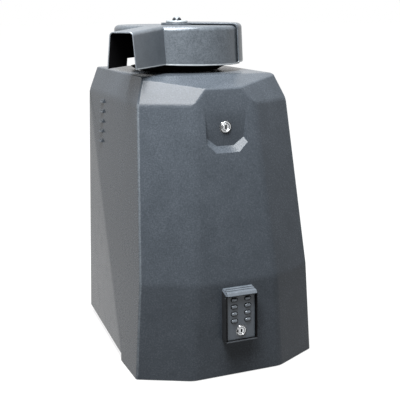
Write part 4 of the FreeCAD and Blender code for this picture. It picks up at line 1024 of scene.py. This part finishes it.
def lock_face(node, place, head, barrel, bore):
    """A lock's body: a barrel, and a head with a bright ring with a black notch on its left, a groove
    painted black as its shade, and a black ring round the head as its painted shadow.
    """
    wide, thick = head
    thin, length = barrel
    ring = wide - RING_WIDE
    seat = bore + SEAT_WIDE
    floor_z = thick - GROOVE_DEEP
    outline = [
        (bore, -length), (thin, -length), (thin, 0), (wide + SHADOW_RING, 0), (wide + SHADOW_RING, 0.8), (wide, 1.0),
        (wide, thick * 0.55), (wide - 0.7, thick - 0.3), (wide - 1.5, thick), (ring, thick),
        (ring - 0.4, floor_z), (seat + 0.3, floor_z), (seat, thick - 0.35), (bore, thick - 0.35),
    ]
    bm = turned(outline, Matrix())
    for face in bm.faces:
        middle = face.calc_center_median() / MM
        radius = hypot(middle.x, middle.y)
        # The groove and the ring round the head take black as painted shade and shadow; the notch is a
        # black band
        groove = seat - 0.1 < radius < ring + 0.1 and middle.z > 0
        notch = radius > bore + 0.2 and middle.x < 0 and abs(middle.y) < NOTCH_HALF
        shadow_ring = radius > wide - 0.4
        face.material_index = FIRST_ADDED if groove or notch or shadow_ring else OWN
    placed(bm, place)
    turned_piece(node, bm, painted_shade_black)


def key_plug(node, place, bore):
    """A key plug whose slot is painted black as the shade inside it, with a black slab round the slot that
    widens that painted shade.
    """
    bm = cad_copy(node)
    back = place.inverted()
    high = max((back @ vert.co).z for vert in bm.verts) / MM
    for face in bm.faces:
        middle = back @ face.calc_center_median() / MM
        deep = middle.z < high - KEY_SLOT_LEAST
        slot = abs(middle.x) < KEY_SLOT_HALF and abs(middle.y) < KEY_SLOT_NEAR
        face.material_index = FIRST_ADDED if deep and slot else OWN
    # A black slab round the slot, which paints the keyhole's shade wider
    tall = bore * KEYHOLE_SHADE_TALL
    near = (-KEYHOLE_SHADE_HALF, -tall, high - KEYHOLE_SHADE_SUNK)
    keyhole_shade = slab(near, (KEYHOLE_SHADE_HALF, tall, high + KEYHOLE_SHADE_PROUD))
    placed(keyhole_shade, place)
    for face in keyhole_shade.faces:
        face.material_index = FIRST_ADDED
    softened(node, gathered([bm, keyhole_shade]), PLUG_EDGE, painted_shade_black, worn=AS_BESIDE)


lock_face("cover_lock_body", LOCK_PLACE, LOCK_HEAD, LOCK_BARREL, LOCK_BORE)
lock_face("keypad_lock_body", PAD_LOCK_PLACE, PAD_LOCK_HEAD, PAD_LOCK_BARREL, PAD_LOCK_BORE)
key_plug("cover_lock_plug", LOCK_PLACE, LOCK_BORE)
key_plug("keypad_lock_plug", PAD_LOCK_PLACE, PAD_LOCK_BORE)


# Keypad

# How far each step of a key's crown is set in and rises
KEY_CROWN = ((0.7, 0.4), (0.7, 0.25), (0.5, 0.1))
KEY_COUNT = len(KEY_ROWS) * len(KEY_COLUMNS)
HOUSING_EDGE = 0.5
PLATE_EDGE = 0.3
SEAL_EDGE = 0.1
LIP_NEAR = 0.3
RIM_NEAR = 0.02


def raise_hood(bm):
    """Lifts the front of the hood and draws its ends in a little."""
    back = ON_PAD.inverted()
    for vert in bm.verts:
        x, y, z = back @ vert.co / MM
        share = -y / HOOD_REACH
        roof = z > HOOD_BACK_Z - HOOD_FALL * share - HOOD_GROOVE
        if roof or y < -PAD_DEEP - RIM_NEAR:
            lift = HOOD_BACK_LIFT + (HOOD_LIFT - HOOD_BACK_LIFT) * min(share, 1.0)
            moved = Vector((x * HOOD_NARROW, y, z + lift))
            vert.co = ON_PAD @ (moved * MM)


def keypad_housing():
    """The box is black at its sides and painted blacker inside, on its rims and under its hood as the shade
    there; its foot's front edge is grey, and its hood a paler grey as painted light.
    """
    bm = cad_copy("keypad_housing")
    triangulate_bent(bm)
    raise_hood(bm)
    foot_top = PAD_LOW + PAD_SKIN
    split(bm, ON_PAD @ (Vector((0, 0, foot_top)) * MM), ON_PAD.to_3x3() @ Vector((0, 0, 1)))
    back = ON_PAD.inverted()
    for face in bm.faces:
        middle = back @ face.calc_center_median() / MM
        roof = middle.z > PAD_HIGH - PAD_HOOD_DROP and face.normal.z > ROOF_UP
        foot = middle.z < foot_top and face.normal.y < -SQUARE_ON
        lip = middle.y < -PAD_DEEP - LIP_NEAR
        side = abs(face.normal.x) > SIDE_ACROSS and abs(middle.x) > PAD_HALF - 1
        # Inside, the rims and under the hood take black as painted shade; the hood's roof and lip take a
        # paler enamel as painted light
        if foot:
            face.material_index = OWN
        elif roof or lip:
            face.material_index = THIRD_ADDED
        else:
            face.material_index = FIRST_ADDED if side else SECOND_ADDED
    more = (FINISHES["black_plastic"], painted_shade_black, hood_painted_light)
    softened("keypad_housing", bm, HOUSING_EDGE, *more, worn=AS_BESIDE)


def oval(bm, grow, depth):
    """The edges of a key's outline moved outwards, at a depth in millimetres before the plate."""
    half_step = Matrix.Rotation(pi / OVAL_STEPS, 4, "Z")
    place = at(0, -depth, 0) @ FACING_FRONT @ half_step
    radius = (KEY_HALF[1] + grow) * MM
    ring = set(bmesh.ops.create_circle(bm, segments=OVAL_STEPS, radius=radius, matrix=place)["verts"])
    for vert in ring:
        vert.co.x += copysign(KEY_HALF[0] - KEY_HALF[1], vert.co.x) * MM
    return [edge for edge in bm.edges if edge.verts[0] in ring]


def key_seal(x, z):
    """A thin rubber ring round a key."""
    bm = bmesh.new()
    outer = SEAL_NEAR + SEAL_WIDE
    spans = ((SEAL_NEAR, 0.0), (SEAL_NEAR, SEAL_HIGH), (outer, SEAL_HIGH), (outer, 0.0))
    rings = [oval(bm, grow, depth) for grow, depth in spans]
    for near, far in zip(rings, rings[1:] + rings[:1]):
        bmesh.ops.bridge_loops(bm, edges=near + far)
    faced_out(bm)
    placed(bm, ON_PAD @ at(x, -PAD_FACE, z))
    return bm


def key_cap(node):
    """A key with a crowned top."""
    bm = cad_copy(node)
    bm.normal_update()
    top = min(bm.faces, key=lambda face: face.calc_center_median().y)
    for inset, rise in KEY_CROWN:
        bmesh.ops.inset_region(bm, faces=[top], thickness=inset * MM, depth=rise * MM, use_even_offset=True)
    softened(node, bm, PLATE_EDGE)


keypad_housing()
softened("keypad_plate", cad_copy("keypad_plate"), PLATE_EDGE)
for number in range(1, KEY_COUNT + 1):
    key_cap("keypad_key_%d" % number)
key_seals = gathered([key_seal(x, z) for z in KEY_ROWS for x in KEY_COLUMNS])
added("keypad_key_seals", key_seals, "keypad_plate", "black_rubber", SEAL_EDGE)


# Pieces whose shape is the CAD's own, with their edges rounded by some millimetres

ROUNDED = {
    "base_plate": 0.8,
    "frame_side_left": 0.8,
    "frame_side_right": 0.8,
    "gearbox_shelf": 0.8,
    "motor_shelf": 0.8,
    "rear_panel": 0.4,
    "crank_arm": 0.9,
    "gearbox_housing": 0.9,
    "gearbox_lid": 0.9,
    "worm_end_cap": 0.6,
    "worm_seal_cap": 0.6,
    "worm_pulley": 0.5,
    "motor_pulley": 0.5,
    "motor_housing": 0.5,
    "motor_end_bells": 0.6,
    "control_panel": 0.4,
    "control_board": 0.2,
    "keypad_board": 0.2,
    "relays": 0.6,
    "terminal_strip": 0.4,
    "limit_switches": 0.4,
    "limit_switch_bracket": 0.5,
    "lock_strike": 0.5,
    "cover_lock_nut": 0.4,
    "cover_lock_cam": 0.4,
    "keypad_lock_nut": 0.4,
    "keypad_lock_cam": 0.3,
    "frame_bolts": 0.5,
    "lid_bolts": 0.4,
    "limit_cams": 0.4,
}
for node_name, width in ROUNDED.items():
    softened(node_name, cad_copy(node_name), width)


# Small parts on the control board and the transformer's winding

def box_of(node):
    """The lowest and highest corner of a CAD piece, in millimetres."""
    spots = [vert.co / MM for vert in nodes[node].data.vertices]
    low = Vector([min(spot[i] for spot in spots) for i in range(3)])
    high = Vector([max(spot[i] for spot in spots) for i in range(3)])
    return low, high


# Outlines as radius and height, places as x and z, and chips as x, z, width and height, in millimetres
CAN_OUTLINE = [
    (0, -0.1), (5.0, -0.1), (5.0, 1.2), (4.7, 1.6), (5.0, 2.0), (5.0, 13.2), (4.5, 13.9), (3.6, 13.7),
    (3.2, 13.4), (0, 13.4),
]
SCREW_OUTLINE = [(0, -0.1), (2.6, -0.1), (2.6, 1.1), (2.1, 1.6), (0.9, 1.6), (0.9, 0.9), (0, 0.9)]
CAN_SPOTS = ((-72, 318), (-58, 318), (-72, 302), (-58, 302), (74, 385), (60, 385))
CHIP_SPOTS = (
    (-20, 300, 34, 12), (22, 300, 24, 9), (60, 312, 14, 14), (60, 288, 14, 8), (-62, 280, 22, 8),
)
CAN_STEPS = 32
SCREW_STEPS = 24
CHIP_DEEP = 4.0
CHIP_GAP = 0.8
LEG_PITCH = 2.54
LEG_HALF = 0.5
LEG_OUT = 1.6
LEG_DEEP = 2.2
WAY_COUNT = 10
WAY_PITCH = 16.0
STRIP_FLOOR = 6.0
STRIP_MIDDLE = 254.0
WINDING_PROUD = 5.0


def in_row(count, pitch):
    """Places along a row about its middle."""
    return [pitch * (i - (count - 1) / 2) for i in range(count)]


def board_parts():
    """Chips on their legs, capacitors, and the screws of the terminal strip."""
    face = box_of("control_board")[0].y
    chips = []
    legs = []
    for x, z, wide, tall in CHIP_SPOTS:
        near = (x - wide / 2, face - CHIP_DEEP, z - tall / 2)
        chips.append(slab(near, (x + wide / 2, face - CHIP_GAP, z + tall / 2)))
        for along in in_row(int(wide / LEG_PITCH), LEG_PITCH):
            leg = x + along
            near = (leg - LEG_HALF, face - LEG_DEEP, z - tall / 2 - LEG_OUT)
            legs.append(slab(near, (leg + LEG_HALF, face, z + tall / 2 + LEG_OUT)))
    added("board_chips", gathered(chips), "control_board", "black_plastic", 0.3)
    added("board_chip_legs", gathered(legs), "control_board", "zinc_steel", 0.15)
    cans = [turned(CAN_OUTLINE, at(x, face, z) @ FACING_FRONT, False, CAN_STEPS) for x, z in CAN_SPOTS]
    added("board_capacitors", gathered(cans), "control_board", "alloy", 0.15)
    screws = []
    for along in in_row(WAY_COUNT, WAY_PITCH):
        place = at(along, face - STRIP_FLOOR, STRIP_MIDDLE)
        screws.append(turned(SCREW_OUTLINE, place @ FACING_FRONT, False, SCREW_STEPS))
    added("terminal_screws", gathered(screws), "terminal_strip", "zinc_steel", 0.1)


def transformer():
    """Iron sheets with a copper winding that stands out in front and behind."""
    bm = cad_copy("transformer")
    bm.normal_update()
    low, high = box_of("transformer")
    stack_front = low.y + WINDING_PROUD
    stack_back = high.y - WINDING_PROUD
    for face in bm.faces:
        y = face.calc_center_median().y / MM
        face.material_index = OWN if stack_front <= y <= stack_back else FIRST_ADDED
    softened("transformer", bm, 0.8, winding)


board_parts()
transformer()


# Stage

def seen_rays(tree):
    """One where the eye, a mirror or a clear thing looks, and zero where there is only light to give."""
    rays = add_node(tree, "ShaderNodeLightPath").outputs
    plain = add_node(
        tree, "ShaderNodeMath", None, {0: rays["Is Camera Ray"], 1: rays["Is Glossy Ray"]},
        operation="MAXIMUM")
    every = add_node(
        tree, "ShaderNodeMath", None, {0: plain.outputs["Value"], 1: rays["Is Transmission Ray"]},
        operation="MAXIMUM")
    return every.outputs["Value"]


def floor():
    """A pale floor that reads white, a little dimmer about the foot, so that the shadow shows there."""
    bm = bmesh.new()
    bmesh.ops.create_grid(bm, x_segments=1, y_segments=1, size=FLOOR_HALF)
    piece = loose_object("floor", bm)
    material = bpy.data.materials.new("pale_floor")
    material.use_nodes = True
    tree = material.node_tree
    tree.nodes.clear()
    place = add_node(tree, "ShaderNodeTexCoord").outputs["Object"]
    reach = add_node(tree, "ShaderNodeVectorMath", None, {0: place}, operation="LENGTH")
    near, far = FLOOR_FADE
    dim, full = FLOOR_GLOW
    level = add_node(
        tree, "ShaderNodeMapRange", {"From Min": near, "From Max": far, "To Min": dim, "To Max": full},
        {"Value": reach.outputs["Value"]}, interpolation_type="SMOOTHSTEP")
    strength = add_node(
        tree, "ShaderNodeMath", None, {0: level.outputs["Result"], 1: seen_rays(tree)},
        operation="MULTIPLY")
    card = add_node(tree, "ShaderNodeBsdfDiffuse", {"Color": linear(FLOOR_CARD)})
    glow = add_node(
        tree, "ShaderNodeEmission", {"Color": linear("#ffffff")}, {"Strength": strength.outputs["Value"]})
    both = add_node(
        tree, "ShaderNodeAddShader", None, {0: card.outputs["BSDF"], 1: glow.outputs["Emission"]})
    add_node(tree, "ShaderNodeOutputMaterial", None, {"Surface": both.outputs["Shader"]})
    piece.data.materials.append(material)


def studio_world():
    """White where it is seen or mirrored, and a weak fill where it lights."""
    world = bpy.data.worlds.new("studio")
    bpy.context.scene.world = world
    world.use_nodes = True
    tree = world.node_tree
    tree.nodes.clear()
    level = add_node(
        tree, "ShaderNodeMapRange", {"To Min": WORLD_FILL, "To Max": 1.0}, {"Value": seen_rays(tree)})
    sky = add_node(
        tree, "ShaderNodeBackground", {"Color": linear("#ffffff")}, {"Strength": level.outputs["Result"]})
    add_node(tree, "ShaderNodeOutputWorld", None, {"Surface": sky.outputs["Background"]})


def softbox(name, towards, reach, size, power):
    """A soft lamp that looks at the middle of the part."""
    data = bpy.data.lights.new(name, "AREA")
    data.energy = power
    data.shape = "RECTANGLE"
    data.size, data.size_y = size
    lamp = bpy.data.objects.new(name, data)
    bpy.context.scene.collection.objects.link(lamp)
    direction = Vector(towards).normalized()
    lamp.location = Vector(LAMP_AIM) + direction * reach
    lamp.rotation_euler = direction.to_track_quat("Z", "Y").to_euler()
    lamp.visible_camera = False


def camera():
    """The eye where the photograph's camera stood."""
    data = bpy.data.cameras.new("camera")
    data.sensor_width = CAMERA_SENSOR
    data.lens = CAMERA_LENS
    eye = bpy.data.objects.new("camera", data)
    bpy.context.scene.collection.objects.link(eye)
    eye.location = CAMERA_PLACE
    eye.rotation_euler = (pi / 2 + CAMERA_PITCH, 0, CAMERA_YAW)
    bpy.context.scene.camera = eye


floor()
studio_world()
for lamp_name, lamp_values in LAMPS.items():
    softbox(lamp_name, *lamp_values)
camera()
bpy.context.scene.view_settings.view_transform = "Standard"
